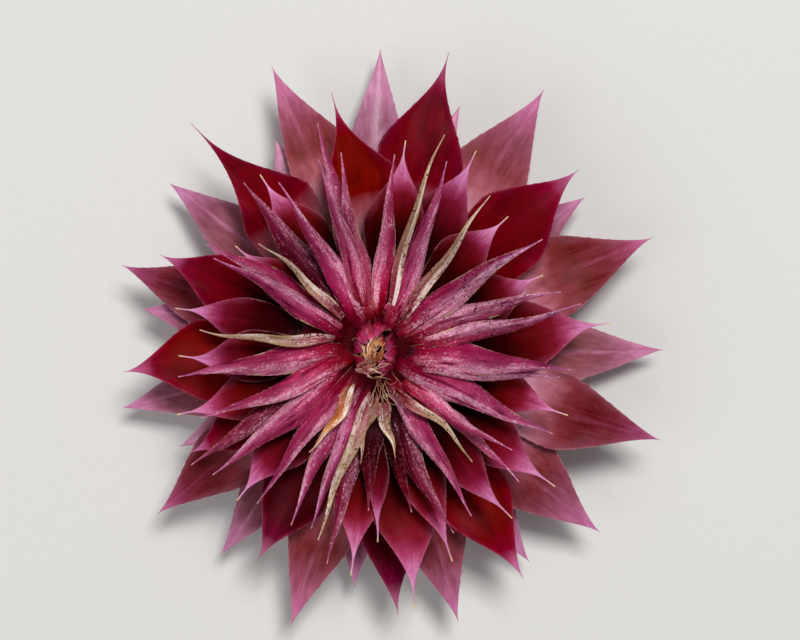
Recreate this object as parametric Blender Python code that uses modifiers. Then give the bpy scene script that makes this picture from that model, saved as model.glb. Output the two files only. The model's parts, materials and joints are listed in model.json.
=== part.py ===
"""An open violet artichoke head, picked and trimmed to a short stem, as a Blender model.

The head stands on its cut stem with its axis along +Z and its origin at the middle of the cut.
A turned heart carries the bracts, which are the scale-like leaves of the bud, and a closed bud
on its top. Every bract is a thin curved shell. It grows from a level on the side of the heart,
and all bracts of one level lie on one flared surface around the axis. The surfaces of the levels
are stacked with a gap between each two, so that bracts which cross in plan never meet.
"""

import math
from typing import NamedTuple

import bmesh
import bpy
from mathutils import Vector

MM = 0.001

# The heart and its cut stem.
STEM_RADIUS = 9.0 * MM
HEART_RADIUS = 13.5 * MM
CROWN_RADIUS = 5.6 * MM
HEART_SQUARENESS = 1.15
HEART_BELOW_BRACTS = 4.5 * MM
HEART_ABOVE_BRACTS = 1.6 * MM
HEART_STEPS = 24
HEART_RINGS = 16

# The bracts: their shell, the gaps that keep them apart and the foot that meets the heart.
BRACT_THICKNESS = 0.75 * MM
TIP_THICKNESS_SHARE = 0.5
TIP_HALF_WIDTH = 0.22 * MM
FOOT_GAP = 0.3 * MM
LEVEL_CLEARANCE = 0.75 * MM
BRACT_SEGMENTS = 7

# The flare of the levels.
LOWEST_LEVEL_HEIGHT = 6.5 * MM
HIGHEST_LEVEL = 5.5
ARCH_RISE = 3.0 * MM
ARCH_RUN = 14.0 * MM
DROOP_FALL = 2.5 * MM
DROOP_START = 28.0 * MM
DROOP_RUN = 22.0 * MM

# The closed bud on top of the heart.
BUD_RADIUS = 5.2 * MM
BUD_HEIGHT = 6.5 * MM
BUD_STEPS = 16
BUD_RINGS = 6

# Half a level leaves the shell's thickness and the clearance between two bracts.
LEVEL_RISE = 2.0 * (BRACT_THICKNESS + LEVEL_CLEARANCE)
HIGHEST_FOOT = LOWEST_LEVEL_HEIGHT + HIGHEST_LEVEL * LEVEL_RISE
HEART_BOTTOM = LOWEST_LEVEL_HEIGHT - HEART_BELOW_BRACTS
HEART_TOP = HIGHEST_FOOT + HEART_ABOVE_BRACTS
HEART_MIDDLE = (HEART_BOTTOM + HEART_TOP) / 2
HEART_HALF_HEIGHT = (HEART_TOP - HEART_BOTTOM) / 2


class Opening(NamedTuple):
    """How much further apart than at the heart two levels stand beyond a flare from start to end."""

    rise: float
    start: float
    end: float


# One opening above each whole level, from the lowest up.
OPENINGS = (
    Opening(1.6 * MM, 14 * MM, 40 * MM),
    Opening(2.8 * MM, 14 * MM, 40 * MM),
    Opening(5.5 * MM, 14 * MM, 27 * MM),
    Opening(1.2 * MM, 14 * MM, 26 * MM),
    Opening(1.2 * MM, 14 * MM, 26 * MM),
    Opening(1.4 * MM, 14 * MM, 26 * MM),
)


class Bract(NamedTuple):
    """One bract: where its tip and foot point round the axis, its growth and its level."""

    tip_angle: float  # degrees from +X
    lean: float  # degrees from the tip's angle to the foot's
    growth: float  # reach as a share of its row's
    breadth: float  # width as a share of its row's
    level: float


class Row(NamedTuple):
    """Bracts of one kind, which share their outline and colour."""

    name: str
    reach: float  # from the axis to the tip of a bract of growth 1
    half_width: float  # of a bract of breadth 1
    foot_share: float  # width at the foot as a share of the widest
    widest_at: float  # share of the length
    fullness: float  # how long the outline stays wide beyond that
    taper: float  # how slender it ends
    cup: float  # height of the margins over the midrib
    columns: int
    colour: tuple
    bracts: tuple


GUARD_ROW = Row(
    "guard_bract", 44 * MM, 5.4 * MM, 0.42, 0.52, 1.25, 1.2, 0.3 * MM, 4, (0.62, 0.30, 0.42, 1),
    (
        Bract(0, 0, 1.10, 1.04, 0.0),
        Bract(36, 1, 0.99, 1.04, 0.0),
        Bract(89, 0, 1.15, 1.00, 0.0),
        Bract(141, -1, 1.01, 1.00, 0.0),
        Bract(170, -2, 0.90, 0.94, 0.5),
        Bract(193, 2, 0.99, 0.96, 0.0),
        Bract(233, -1, 0.98, 0.94, 0.0),
        Bract(265, 0, 0.91, 0.80, 0.0),
        Bract(306, 2, 1.00, 1.02, 0.0),
    ),
)
BROAD_ROW = Row(
    "broad_bract", 49 * MM, 6.6 * MM, 0.42, 0.52, 1.25, 1.25, 0.3 * MM, 4, (0.50, 0.16, 0.24, 1),
    (
        Bract(22, 1, 1.02, 1.08, 1.0),
        Bract(57, 0, 1.06, 1.10, 1.0),
        Bract(110, -1, 1.03, 0.90, 1.0),
        Bract(161.5, 1, 0.91, 0.84, 1.0),
        Bract(217, 0, 0.93, 0.90, 1.0),
        Bract(253, 1, 0.99, 0.85, 1.0),
        Bract(287, 3, 0.97, 0.88, 1.0),
        Bract(321, 2, 0.99, 1.04, 1.0),
        Bract(342.5, 1, 1.02, 0.98, 1.5),
    ),
)
DARK_ROW = Row(
    "dark_bract", 44 * MM, 6.2 * MM, 0.46, 0.52, 1.4, 1.8, 0.4 * MM, 4, (0.34, 0.04, 0.09, 1),
    (
        Bract(6.5, -3, 0.90, 0.94, 2.0),
        Bract(41.5, 0, 1.03, 1.10, 2.0),
        Bract(76, 0, 1.16, 1.16, 2.0),
        Bract(99.5, -7, 0.98, 1.00, 2.5),
        Bract(129, -2, 1.10, 1.08, 2.0),
        Bract(156, 1, 0.88, 0.84, 2.5),
        Bract(185, -2, 0.95, 1.06, 2.0),
        Bract(209, 1, 0.79, 0.78, 2.5),
        Bract(241, -3, 0.91, 0.88, 2.0),
        Bract(275, -1, 1.01, 0.86, 1.5),
        Bract(279, 4, 0.98, 0.90, 2.5),
        Bract(303, 4, 1.03, 0.94, 2.0),
    ),
)
SPINY_ROW = Row(
    "spiny_bract", 34 * MM, 4.4 * MM, 0.50, 0.42, 1.7, 2.6, 0.4 * MM, 4, (0.42, 0.04, 0.14, 1),
    (
        Bract(24, 1, 0.89, 1.02, 3.0),
        Bract(45, 1, 0.91, 1.02, 3.5),
        Bract(63, 0, 1.08, 1.14, 3.0),
        Bract(81.5, 0, 1.02, 1.08, 3.5),
        Bract(123, 1, 1.01, 1.00, 3.0),
        Bract(168, -2, 0.98, 0.86, 3.0),
        Bract(181.5, 0, 0.94, 0.96, 3.5),
        Bract(198, 1, 1.00, 0.90, 3.0),
        Bract(227.5, 1, 0.98, 0.94, 3.0),
        Bract(264, 1, 1.09, 0.90, 3.0),
        Bract(323, 3, 1.09, 1.04, 3.0),
        Bract(341.5, 2, 0.98, 0.92, 3.5),
    ),
)
NARROW_ROW = Row(
    "narrow_bract", 32 * MM, 2.4 * MM, 0.66, 0.26, 1.2, 1.25, 0.4 * MM, 2, (0.55, 0.14, 0.34, 1),
    (
        Bract(17.5, 3, 0.99, 1.02, 5.0),
        Bract(33.5, 4, 1.02, 1.12, 5.5),
        Bract(69, -9, 1.03, 1.00, 4.5),
        Bract(84, 1, 1.00, 0.80, 5.0),
        Bract(99.5, -1, 1.02, 0.94, 4.5),
        Bract(119.5, -2, 0.98, 0.96, 5.0),
        Bract(150, 3, 0.94, 0.94, 4.5),
        Bract(187.5, -7, 1.00, 1.18, 5.0),
        Bract(201, -5, 0.94, 0.90, 5.5),
        Bract(217.5, -1, 1.03, 1.16, 5.0),
        Bract(232.5, -6, 0.97, 0.84, 5.5),
        Bract(244.5, 1, 0.98, 0.94, 4.5),
        Bract(250.5, 7, 0.95, 0.84, 5.5),
        Bract(300.5, -3, 0.97, 0.88, 5.0),
        Bract(335, -1, 1.00, 1.25, 4.5),
        Bract(354.5, 1, 1.00, 1.30, 5.5),
    ),
)
ROWS = (GUARD_ROW, BROAD_ROW, DARK_ROW, SPINY_ROW, NARROW_ROW)

HEART_COLOUR = (0.46, 0.20, 0.22, 1)
BUD_COLOUR = (0.48, 0.16, 0.16, 1)


def smooth_step(value, start, run):
    """0 before start, 1 beyond start + run, and a smooth slope between them."""
    share = min(max((value - start) / run, 0.0), 1.0)
    return share * share * (3.0 - 2.0 * share)


def level_height(level, radius):
    """Height of a level's surface at a distance from the axis."""
    height = LOWEST_LEVEL_HEIGHT + level * LEVEL_RISE
    height += ARCH_RISE * smooth_step(radius, HEART_RADIUS, ARCH_RUN)
    height -= DROOP_FALL * smooth_step(radius, DROOP_START, DROOP_RUN)
    for below, opening in enumerate(OPENINGS):
        share = min(max(level - below, 0.0), 1.0)
        height += share * opening.rise * smooth_step(radius, opening.start, opening.end - opening.start)
    return height


def heart_radius(height):
    """Radius of the heart's side at a height: it swells out of the stem and closes in to the crown."""
    share = min(abs(height - HEART_MIDDLE) / HEART_HALF_HEIGHT, 1.0)
    swell = (1.0 - share**HEART_SQUARENESS) ** (1.0 / HEART_SQUARENESS)
    end_radius = CROWN_RADIUS if height > HEART_MIDDLE else STEM_RADIUS
    return end_radius + (HEART_RADIUS - end_radius) * swell


def outline(row, share):
    """Width of a bract of this row at a share of its length, as a share of its widest."""
    if share < row.widest_at:
        return row.foot_share + (1.0 - row.foot_share) * math.sin(math.pi / 2 * share / row.widest_at)
    beyond = (share - row.widest_at) / (1.0 - row.widest_at)
    return (1.0 - beyond**row.fullness) ** row.taper


def foot_distance(row, bract, half_width):
    """Distance from the axis to a bract's foot, clear of the heart whichever way the foot is turned."""
    foot_height = LOWEST_LEVEL_HEIGHT + bract.level * LEVEL_RISE
    spread = BRACT_THICKNESS / 2 + row.cup
    widest = max(heart_radius(foot_height + up) for up in (-spread, 0.0, spread))
    reach = row.reach * bract.growth
    lean = math.radians(bract.lean)
    turn = math.atan2(reach * math.sin(lean), reach * math.cos(lean) - widest)
    return widest + FOOT_GAP + row.foot_share * half_width * abs(math.sin(turn))


def on_plan(angle, distance):
    """The point at an angle in degrees and a distance from the axis."""
    return Vector((math.cos(math.radians(angle)), math.sin(math.radians(angle)))) * distance


def linked(name, mesh, collection):
    """A new object of that name in the collection."""
    made = bpy.data.objects.new(name, mesh)
    collection.objects.link(made)
    return made


def painted(made, name, colour, roughness):
    """Gives an object a plain material of its own."""
    material = bpy.data.materials.new(name)
    material.use_nodes = True
    shader = material.node_tree.nodes["Principled BSDF"]
    shader.inputs["Base Color"].default_value = colour
    shader.inputs["Roughness"].default_value = roughness
    shader.inputs["Metallic"].default_value = 0.0
    made.data.materials.append(material)
    return made


def turned(name, profile, steps, collection):
    """A solid of revolution about Z, from points (radius, height) that run from its top to its bottom."""
    mesh = bpy.data.meshes.new(name)
    points = [(radius, 0.0, height) for radius, height in profile]
    edges = [(i, i + 1) for i in range(len(points) - 1)]
    mesh.from_pydata(points, edges, [])
    made = linked(name, mesh, collection)
    screw = made.modifiers.new("Turn", "SCREW")
    screw.steps = steps
    screw.render_steps = steps
    screw.use_merge_vertices = True
    screw.merge_threshold = 0.0001 * MM
    screw.use_smooth_shade = True
    return made


def make_heart(collection):
    """The fleshy heart with the cut stem under it, grown in one piece."""
    profile = [(0.0, HEART_TOP)]
    for ring in range(HEART_RINGS + 1):
        angle = math.pi * ring / HEART_RINGS
        height = HEART_MIDDLE + HEART_HALF_HEIGHT * math.cos(angle)
        profile.append((heart_radius(height), height))
    profile += [(STEM_RADIUS, 0.0), (0.0, 0.0)]
    heart = turned("heart_and_stem", profile, HEART_STEPS, collection)
    return painted(heart, "heart_flesh", HEART_COLOUR, 0.6)


def make_bud(collection):
    """The closed innermost bracts, which stand as one ovoid bud on the heart's crown."""
    foot = HEART_TOP + FOOT_GAP
    profile = []
    for ring in range(BUD_RINGS + 1):
        angle = math.pi / 2 * ring / BUD_RINGS
        profile.append((BUD_RADIUS * math.sin(angle), foot + BUD_HEIGHT * math.cos(angle)))
    profile.append((0.0, foot))
    bud = turned("inner_bud", profile, BUD_STEPS, collection)
    return painted(bud, "bud_flesh", BUD_COLOUR, 0.6)


def make_bract(name, row, bract, collection):
    """One bract: a grid laid on its level's surface between foot and tip, and thickened to a shell."""
    half_width = row.half_width * bract.breadth
    foot = on_plan(bract.tip_angle + bract.lean, foot_distance(row, bract, half_width))
    tip = on_plan(bract.tip_angle, row.reach * bract.growth)
    along = tip - foot
    across = Vector((-along.y, along.x)).normalized()

    shape = bmesh.new()
    bmesh.ops.create_grid(shape, x_segments=BRACT_SEGMENTS, y_segments=row.columns, size=0.5)
    shares = []
    for vertex in shape.verts:
        share = vertex.co.x + 0.5
        side = 2.0 * vertex.co.y
        width = max(half_width * outline(row, share), TIP_HALF_WIDTH)
        place = foot + along * share + across * side * width
        rise = row.cup * outline(row, share) * (side * side - 0.5)
        vertex.co = (*place, level_height(bract.level, place.length) + rise)
        shares.append(share)
    mesh = bpy.data.meshes.new(name)
    shape.to_mesh(mesh)
    shape.free()
    mesh.shade_smooth()

    made = linked(name, mesh, collection)
    group = made.vertex_groups.new(name="Thickness")
    for index, share in enumerate(shares):
        group.add([index], 1.0 - (1.0 - TIP_THICKNESS_SHARE) * share, "REPLACE")
    shell = made.modifiers.new("Shell", "SOLIDIFY")
    shell.thickness = BRACT_THICKNESS
    shell.offset = 0.0
    shell.vertex_group = group.name
    return painted(made, row.name, row.colour, 0.5)


def main():
    """Clears the scene and builds the head."""
    for leftover in list(bpy.data.objects):
        bpy.data.objects.remove(leftover)
    artichoke = bpy.data.collections.new("artichoke")
    bpy.context.scene.collection.children.link(artichoke)
    make_heart(artichoke)
    make_bud(artichoke)
    for row in ROWS:
        for number, bract in enumerate(row.bracts, start=1):
            make_bract(f"{row.name}_{number:02d}", row, bract, artichoke)


main()
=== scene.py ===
"""An open violet artichoke head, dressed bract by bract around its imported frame.

Each packed bract gives the place, rise and width of a finer one: a curved blade with a toothed
margin, a midrib, fibres and a spine. Small bracts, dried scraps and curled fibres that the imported
model leaves out are grown between them.
"""

import json
import logging
import math
from dataclasses import dataclass, field, replace
from enum import Enum
from typing import Any, ClassVar, Optional, Sequence, Union

import bpy
import numpy as np
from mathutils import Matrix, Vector

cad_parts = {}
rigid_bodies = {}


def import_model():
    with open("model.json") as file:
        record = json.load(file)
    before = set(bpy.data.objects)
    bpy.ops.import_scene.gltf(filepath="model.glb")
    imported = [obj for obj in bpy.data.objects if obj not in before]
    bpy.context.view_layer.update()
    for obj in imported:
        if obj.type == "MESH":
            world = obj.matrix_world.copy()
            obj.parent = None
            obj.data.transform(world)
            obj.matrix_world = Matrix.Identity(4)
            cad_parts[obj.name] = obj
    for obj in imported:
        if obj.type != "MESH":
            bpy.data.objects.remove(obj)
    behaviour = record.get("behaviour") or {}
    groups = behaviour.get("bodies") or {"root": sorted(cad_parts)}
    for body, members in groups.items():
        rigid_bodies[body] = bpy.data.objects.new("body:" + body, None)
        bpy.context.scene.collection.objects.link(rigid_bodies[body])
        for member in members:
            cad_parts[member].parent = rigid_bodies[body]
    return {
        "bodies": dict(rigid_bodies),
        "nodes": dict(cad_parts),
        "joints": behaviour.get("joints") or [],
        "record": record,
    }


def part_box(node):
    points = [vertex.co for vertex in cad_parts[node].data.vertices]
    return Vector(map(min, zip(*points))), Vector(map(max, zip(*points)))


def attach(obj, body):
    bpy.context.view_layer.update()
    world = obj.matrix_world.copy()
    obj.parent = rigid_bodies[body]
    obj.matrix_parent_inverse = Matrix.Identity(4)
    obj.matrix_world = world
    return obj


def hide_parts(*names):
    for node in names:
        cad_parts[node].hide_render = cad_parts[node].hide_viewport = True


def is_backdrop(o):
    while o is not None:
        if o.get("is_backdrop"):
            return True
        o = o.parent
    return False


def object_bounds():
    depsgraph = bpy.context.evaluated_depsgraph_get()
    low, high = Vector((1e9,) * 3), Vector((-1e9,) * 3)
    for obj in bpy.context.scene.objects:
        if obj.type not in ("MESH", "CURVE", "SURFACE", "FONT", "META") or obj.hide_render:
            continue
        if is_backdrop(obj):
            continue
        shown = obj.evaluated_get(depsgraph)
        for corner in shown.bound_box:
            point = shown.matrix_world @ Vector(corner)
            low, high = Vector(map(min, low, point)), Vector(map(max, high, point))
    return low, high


log = logging.getLogger("artichoke")

MM = 0.001
SHARP_ANGLE = math.radians(70)
GOLDEN_ANGLE = 137.5
THREAD_END = 0.35

Colour = tuple[float, float, float]
Point = tuple[float, float, float]


# Shader maths


class Wire:
    """A shader socket that carries a number or a colour, as a Python value."""

    def __init__(self, graph: "Graph", socket: bpy.types.NodeSocket) -> None:
        """Holds an output socket.

        Args:
            graph: the material that the socket is in.
            socket: the output socket.
        """
        self.graph = graph
        self.socket = socket

    def __add__(self, other: "Value") -> "Wire":
        """Sum."""
        return self.graph.maths("ADD", self, other)

    __radd__ = __add__

    def __sub__(self, other: "Value") -> "Wire":
        """Difference."""
        return self.graph.maths("SUBTRACT", self, other)

    def __rsub__(self, other: "Value") -> "Wire":
        """Difference, from a number."""
        return self.graph.maths("SUBTRACT", other, self)

    def __mul__(self, other: "Value") -> "Wire":
        """Product."""
        return self.graph.maths("MULTIPLY", self, other)

    __rmul__ = __mul__

    def __abs__(self) -> "Wire":
        """Size without its sign."""
        return self.graph.maths("ABSOLUTE", self)


Value = Union[Wire, float, int]


class Graph:
    """A material that is built from nodes."""

    def __init__(self, name: str) -> None:
        """Makes an empty material.

        Args:
            name: the material's name.
        """
        self.material = bpy.data.materials.new(name)
        self.material.use_nodes = True
        self.tree = self.material.node_tree
        self.tree.nodes.clear()

    def add(
        self,
        kind: str,
        settings: Optional[dict[str, Any]] = None,
        values: Optional[dict[Union[str, int], Any]] = None,
    ) -> bpy.types.Node:
        """Adds one node.

        Args:
            kind: the node's type without its ShaderNode prefix.
            settings: properties of the node, set first, and a ramp's stops as (place, colour) pairs.
            values: a wire or a value for each input, by the input's name or number.

        Returns:
            The node.
        """
        node = self.tree.nodes.new("ShaderNode" + kind)
        for key, setting in (settings or {}).items():
            if key == "stops":
                self._set_stops(node.color_ramp, setting)
            else:
                setattr(node, key, setting)
        for key, value in (values or {}).items():
            if isinstance(value, Wire):
                self.tree.links.new(value.socket, node.inputs[key])
            else:
                node.inputs[key].default_value = value
        return node

    @staticmethod
    def _set_stops(ramp: bpy.types.ColorRamp, stops: Sequence[tuple[float, Colour]]) -> None:
        """Gives a ramp its stops.

        Args:
            ramp: a new ramp, which has two stops.
            stops: place and colour of each stop, in order.
        """
        while len(ramp.elements) < len(stops):
            ramp.elements.new(1.0)
        for element, (place, colour) in zip(ramp.elements, stops):
            element.position = place
            element.color = (*colour, 1.0)

    def wire(self, node: bpy.types.Node, output: Union[str, int] = 0) -> Wire:
        """The wire from one output of a node."""
        return Wire(self, node.outputs[output])

    def maths(self, operation: str, *terms: Value) -> Wire:
        """Joins numbers by a Math node's operation."""
        return self.wire(self.add("Math", {"operation": operation}, dict(enumerate(terms))))

    def stretched(self, vector: Wire, factors: Point) -> Wire:
        """Multiplies a vector by three factors."""
        return self.wire(self.add("VectorMath", {"operation": "MULTIPLY"}, {0: vector, 1: factors}))

    def blend(self, factor: Value, first: Any, second: Any, mode: str = "MIX") -> Wire:
        """Goes from one colour to another.

        Args:
            factor: 0 for the first colour and 1 for the second.
            first: a wire or a colour.
            second: a wire or a colour.
            mode: how the second colour is laid on the first.

        Returns:
            The colour between them.
        """
        colours = [c if isinstance(c, Wire) else (*c, 1.0) for c in (first, second)]
        settings = {"data_type": "RGBA", "blend_type": mode, "clamp_factor": True}
        node = self.add("Mix", settings, {0: factor, 6: colours[0], 7: colours[1]})
        return self.wire(node, 2)

    def step(self, value: Wire, low: float, high: float) -> Wire:
        """Rises smoothly from 0 to 1 between two values, or falls where low is above high.

        Args:
            value: what is read.
            low: where the step is still 0.
            high: where it has reached 1.

        Returns:
            The step.
        """
        values = {"Value": value, "From Min": min(low, high), "From Max": max(low, high)}
        values.update({"To Min": float(low > high), "To Max": float(low < high)})
        return self.wire(self.add("MapRange", {"interpolation_type": "SMOOTHSTEP"}, values))

    def ramp(self, value: Wire, stops: Sequence[tuple[float, Colour]]) -> Wire:
        """Reads a colour off a ramp."""
        return self.wire(self.add("ValToRGB", {"stops": stops}, {"Fac": value}))

    def noise(self, vector: Wire, scale: float, detail: float = 2.0, roughness: float = 0.55) -> Wire:
        """Cloudy noise around 0.5."""
        values = {"Vector": vector, "Scale": scale, "Detail": detail, "Roughness": roughness}
        return self.wire(self.add("TexNoise", None, values))

    def finish(
        self, shader: dict[str, Any], height: Wire, strength: float, depth: float
    ) -> bpy.types.Material:
        """Closes the material with a bump, a Principled shader and an output.

        Args:
            shader: a wire or a value for each input of the Principled shader.
            height: the height of the surface's relief, from 0 to 1.
            strength: how much of the relief shows.
            depth: the height in metres of a relief of 1.

        Returns:
            The material.
        """
        bump = self.add("Bump", None, {"Height": height, "Strength": strength, "Distance": depth})
        principled = self.add("BsdfPrincipled", None, {**shader, "Normal": self.wire(bump)})
        self.add("OutputMaterial", None, {"Surface": self.wire(principled)})
        return self.material


# Finishes


class Grain:
    """A bract's own coordinates, and the clouds, fibres and meal that its colours follow."""

    CLOUDS = (0.16, 0.30, 1.0)
    PATCHES = (0.3, 0.8, 1.0)
    BROAD_FIBRE = (0.13, 1.5, 1.0)
    FINE_FIBRE = (0.22, 3.4, 1.0)
    MEAL = (2.4, 3.4, 1.0)
    SPECKS = (1.4, 2.2, 1.0)

    def __init__(self, g: Graph) -> None:
        """Draws the patterns in a material.

        Args:
            g: the material.
        """
        blade = g.wire(g.add("Attribute", {"attribute_name": "blade"}), "Vector")
        self.place = g.wire(g.add("Attribute", {"attribute_name": "grain"}), "Vector")
        parts = g.add("SeparateXYZ", None, {0: blade})
        self.along, self.across, self.front = (g.wire(parts, i) for i in range(3))
        self.off_rib = abs(self.across)
        seed = g.wire(g.add("SeparateXYZ", None, {0: self.place}), 2)
        self.chance = g.wire(g.add("TexWhiteNoise", {"noise_dimensions": "1D"}, {"W": seed}))

        self.clouds = g.noise(g.stretched(self.place, self.CLOUDS), 1.0, 3.0)
        self.patches = g.noise(g.stretched(self.place, self.PATCHES), 1.0, 4.0, 0.65)
        broad_fibre = g.noise(g.stretched(self.place, self.BROAD_FIBRE), 1.0, 2.0)
        self.fine_fibre = g.noise(g.stretched(self.place, self.FINE_FIBRE), 1.0, 2.0, 0.7)
        self.meal = g.noise(g.stretched(self.place, self.MEAL), 1.0, 2.0, 0.7)
        self.fibre = broad_fibre * 0.55 + self.fine_fibre * 0.45
        # Painted light: for each bract a side picked at random is its lit side. The finishes paint that side
        # lighter and the other side darker.
        lit = g.step(self.chance, 0.49, 0.51) * 2.0 - 1.0
        self.lit_side = g.step(self.across * lit, -0.25, 0.45)


@dataclass(frozen=True)
class BractFinish:
    """Colours and surface of one kind of bract.

    The stops run from its foot to its tip, and wander is how far they stray along it. The stops are
    partly the bract's own colours and partly painted light: their near-black feet and darkest bodies
    are partly painted shade where the bracts sink among their neighbours, and their pale tips are partly
    painted light where they turn up to the lamps. Fibrous is how strongly its fibres show, and halves
    how strongly one half is painted lit and the other painted in shade. The names that end in
    strength and amount are shares from 0 to 1, and those that end in from are shares of the length.
    """

    name: str
    slot: str
    stops: tuple[tuple[float, Colour], ...]
    wander: float = 0.10
    fibrous: float = 1.0
    saturation: float = 1.0
    # The midrib's colour: partly its own paler tint and partly a painted highlight along its ridge. The
    # painted light on the lit half uses it too.
    rib: Colour = (0.50, 0.20, 0.32)
    rib_strength: float = 0.4
    rib_width: float = 0.22
    rib_from: float = 0.3
    halves: float = 0.0
    streak: Colour = (0.62, 0.36, 0.42)
    streak_strength: float = 0.2
    streak_start: float = 0.52
    streak_from: float = 0.0
    # The colour of the painted glints: small highlights in the brightest streaks.
    glint: Colour = (0.95, 0.78, 0.86)
    blotch: Colour = (0.16, 0.055, 0.030)
    blotch_amount: float = 0.0
    # A darker tint for random patches, and the painted shade of the shaded half and of the furrows.
    tint_and_shade: Colour = (0.50, 0.20, 0.26)
    edge: Colour = (0.62, 0.34, 0.30)
    edge_strength: float = 0.5
    margin: Colour = (0.42, 0.14, 0.24)
    margin_strength: float = 0.0
    dry: Colour = (0.66, 0.46, 0.27)
    dry_amount: float = 0.0
    speck: Colour = (0.05, 0.012, 0.014)
    speck_amount: float = 0.0
    spine: Colour = (0.66, 0.46, 0.24)
    spine_from: float = 0.95
    back: Colour = (0.20, 0.04, 0.09)
    back_foot: Colour = (0.22, 0.22, 0.09)
    back_fibre: Colour = (0.42, 0.26, 0.22)
    roughness: float = 0.42
    gloss: float = 0.10
    gloss_tint: Colour = (1.0, 0.45, 0.60)
    relief: float = 0.35

    def _flesh(self, g: Graph, grain: Grain) -> Wire:
        """Colours the bract from foot to tip, with its midrib and a painted highlight along it, and with its
        halves painted lit and in shade.

        Args:
            g: the material.
            grain: the bract's patterns.

        Returns:
            The colour.
        """
        drawn = (grain.fibre - 0.5) * (self.wander * 0.8 * self.fibrous)
        colour = g.ramp(grain.along + (grain.clouds - 0.5) * self.wander + drawn, self.stops)
        # The midrib: partly its own paler tint, partly a painted highlight along its ridge.
        rib = g.step(grain.off_rib, self.rib_width, 0.0)
        rib = rib * g.step(grain.along, self.rib_from, self.rib_from + 0.25)
        rib = rib * (0.95 + (grain.fibre - 0.5) * self.fibrous)
        colour = g.blend(rib * self.rib_strength, colour, self.rib)
        if self.halves > 0.0:
            # Painted light and shade: along the middle of the bract the lit half is painted lighter in the
            # midrib's colour, and the other half is painted darker.
            sheen_span = g.step(grain.along, 0.08, 0.26) * g.step(grain.along, 0.95, 0.60)
            colour = g.blend(grain.lit_side * sheen_span * (0.28 * self.halves), colour, self.rib)
            colour = g.blend((1.0 - grain.lit_side) * (0.40 * self.halves), colour, self.tint_and_shade, "MULTIPLY")
        return colour

    def _streaked(self, g: Graph, grain: Grain, colour: Wire) -> Wire:
        """Adds pale streaks along the fibres, gathered on the half painted as lit, and painted glints on
        them.

        Args:
            g: the material.
            grain: the bract's patterns.
            colour: the colour so far.

        Returns:
            The colour.
        """
        meal_and_sheen = grain.fibre * 0.66 + grain.meal * 0.46 + (grain.patches - 0.5) * 0.16
        # Painted light: the streaks gather on the half painted as lit.
        meal_and_sheen = meal_and_sheen + (grain.lit_side - 0.5) * (0.16 * self.halves)
        strength = g.step(grain.along, self.streak_from - 0.12, self.streak_from) * self.streak_strength
        streak = g.step(meal_and_sheen, self.streak_start - 0.03, self.streak_start + 0.12)
        colour = g.blend(streak * strength, colour, self.streak)
        if self.halves > 0.0:
            # Painted highlights: small glints in the brightest streaks.
            glint = grain.meal * 0.45 + meal_and_sheen * 0.55
            glint = g.step(glint, self.streak_start + 0.02, self.streak_start + 0.09)
            colour = g.blend(glint * strength * 0.7, colour, self.glint)
        return colour

    def _shaded(self, g: Graph, grain: Grain, colour: Wire) -> Wire:
        """Adds brown blotches, darker patches, and darker furrows along the fibres that are partly painted
        shade.

        Args:
            g: the material.
            grain: the bract's patterns.
            colour: the colour so far.

        Returns:
            The colour.
        """
        if self.blotch_amount > 0.0:
            blotch = g.step(grain.clouds, 0.47, 0.66)
            blotch = blotch * g.step(grain.along, 0.30, 0.45) * g.step(grain.along, 0.92, 0.78)
            colour = g.blend(blotch * self.blotch_amount, colour, self.blotch)
        # Random darker patches are the bract's own tone. The darker furrows along the fibres are partly
        # painted shade.
        shade = g.step(grain.patches, 0.62, 0.40) * 0.35
        shade = shade + g.step(grain.fibre, 0.48, 0.36) * (0.55 * self.fibrous)
        return g.blend(shade, colour, self.tint_and_shade, "MULTIPLY")

    def _margined(self, g: Graph, grain: Grain, colour: Wire, edge: Wire) -> Wire:
        """Adds the pale edge, the soft margin and the dried part beyond it.

        Args:
            g: the material.
            grain: the bract's patterns.
            colour: the colour so far.
            edge: 1 on the thin edge and 0 inside it.

        Returns:
            The colour.
        """
        colour = g.blend(edge * self.edge_strength, colour, self.edge)
        if self.margin_strength > 0.0:
            soft = g.step(grain.off_rib + (grain.clouds - 0.5) * 0.5, 0.62, 1.02)
            soft = soft * g.step(grain.along, 0.35, 0.55)
            colour = g.blend(soft * self.margin_strength, colour, self.margin)
        if self.dry_amount > 0.0:
            frayed = (grain.patches - 0.5) * 1.1 + (grain.clouds - 0.5) * 0.9 + (grain.fine_fibre - 0.5) * 0.5
            dried = g.step(grain.off_rib + frayed, 1.22 - self.dry_amount, 1.32 - self.dry_amount)
            husk = g.blend(grain.fine_fibre, self.dry, tuple(part * 0.55 for part in self.dry))
            colour = g.blend(dried * g.step(grain.along, 0.10, 0.24), colour, husk)
        return colour

    def _specked(self, g: Graph, grain: Grain, colour: Wire) -> Wire:
        """Adds groups of dark specks.

        Args:
            g: the material.
            grain: the bract's patterns.
            colour: the colour so far.

        Returns:
            The colour.
        """
        if self.speck_amount == 0.0:
            return colour
        dots = g.add("TexVoronoi", None, {"Vector": g.stretched(grain.place, Grain.SPECKS), "Scale": 1.0})
        speck = g.step(g.wire(dots, "Distance"), 0.34, 0.22) * g.step(grain.patches, 0.56, 0.50)
        return g.blend(speck * self.speck_amount, colour, self.speck)

    def _underside(self, g: Graph, grain: Grain) -> Wire:
        """Colours the bract's back, which turns green towards its foot.

        Args:
            g: the material.
            grain: the bract's patterns.

        Returns:
            The colour.
        """
        risen = g.step(grain.along + (grain.fibre - 0.5) * 0.3, 0.05, 0.55)
        colour = g.blend(risen, self.back_foot, self.back)
        colour = g.blend(g.step(grain.fibre, 0.50, 0.66) * 0.35, colour, self.back_fibre)
        return g.blend(g.step(grain.along, 0.6, 1.0) * 0.8, colour, self.stops[-1][1])

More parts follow.
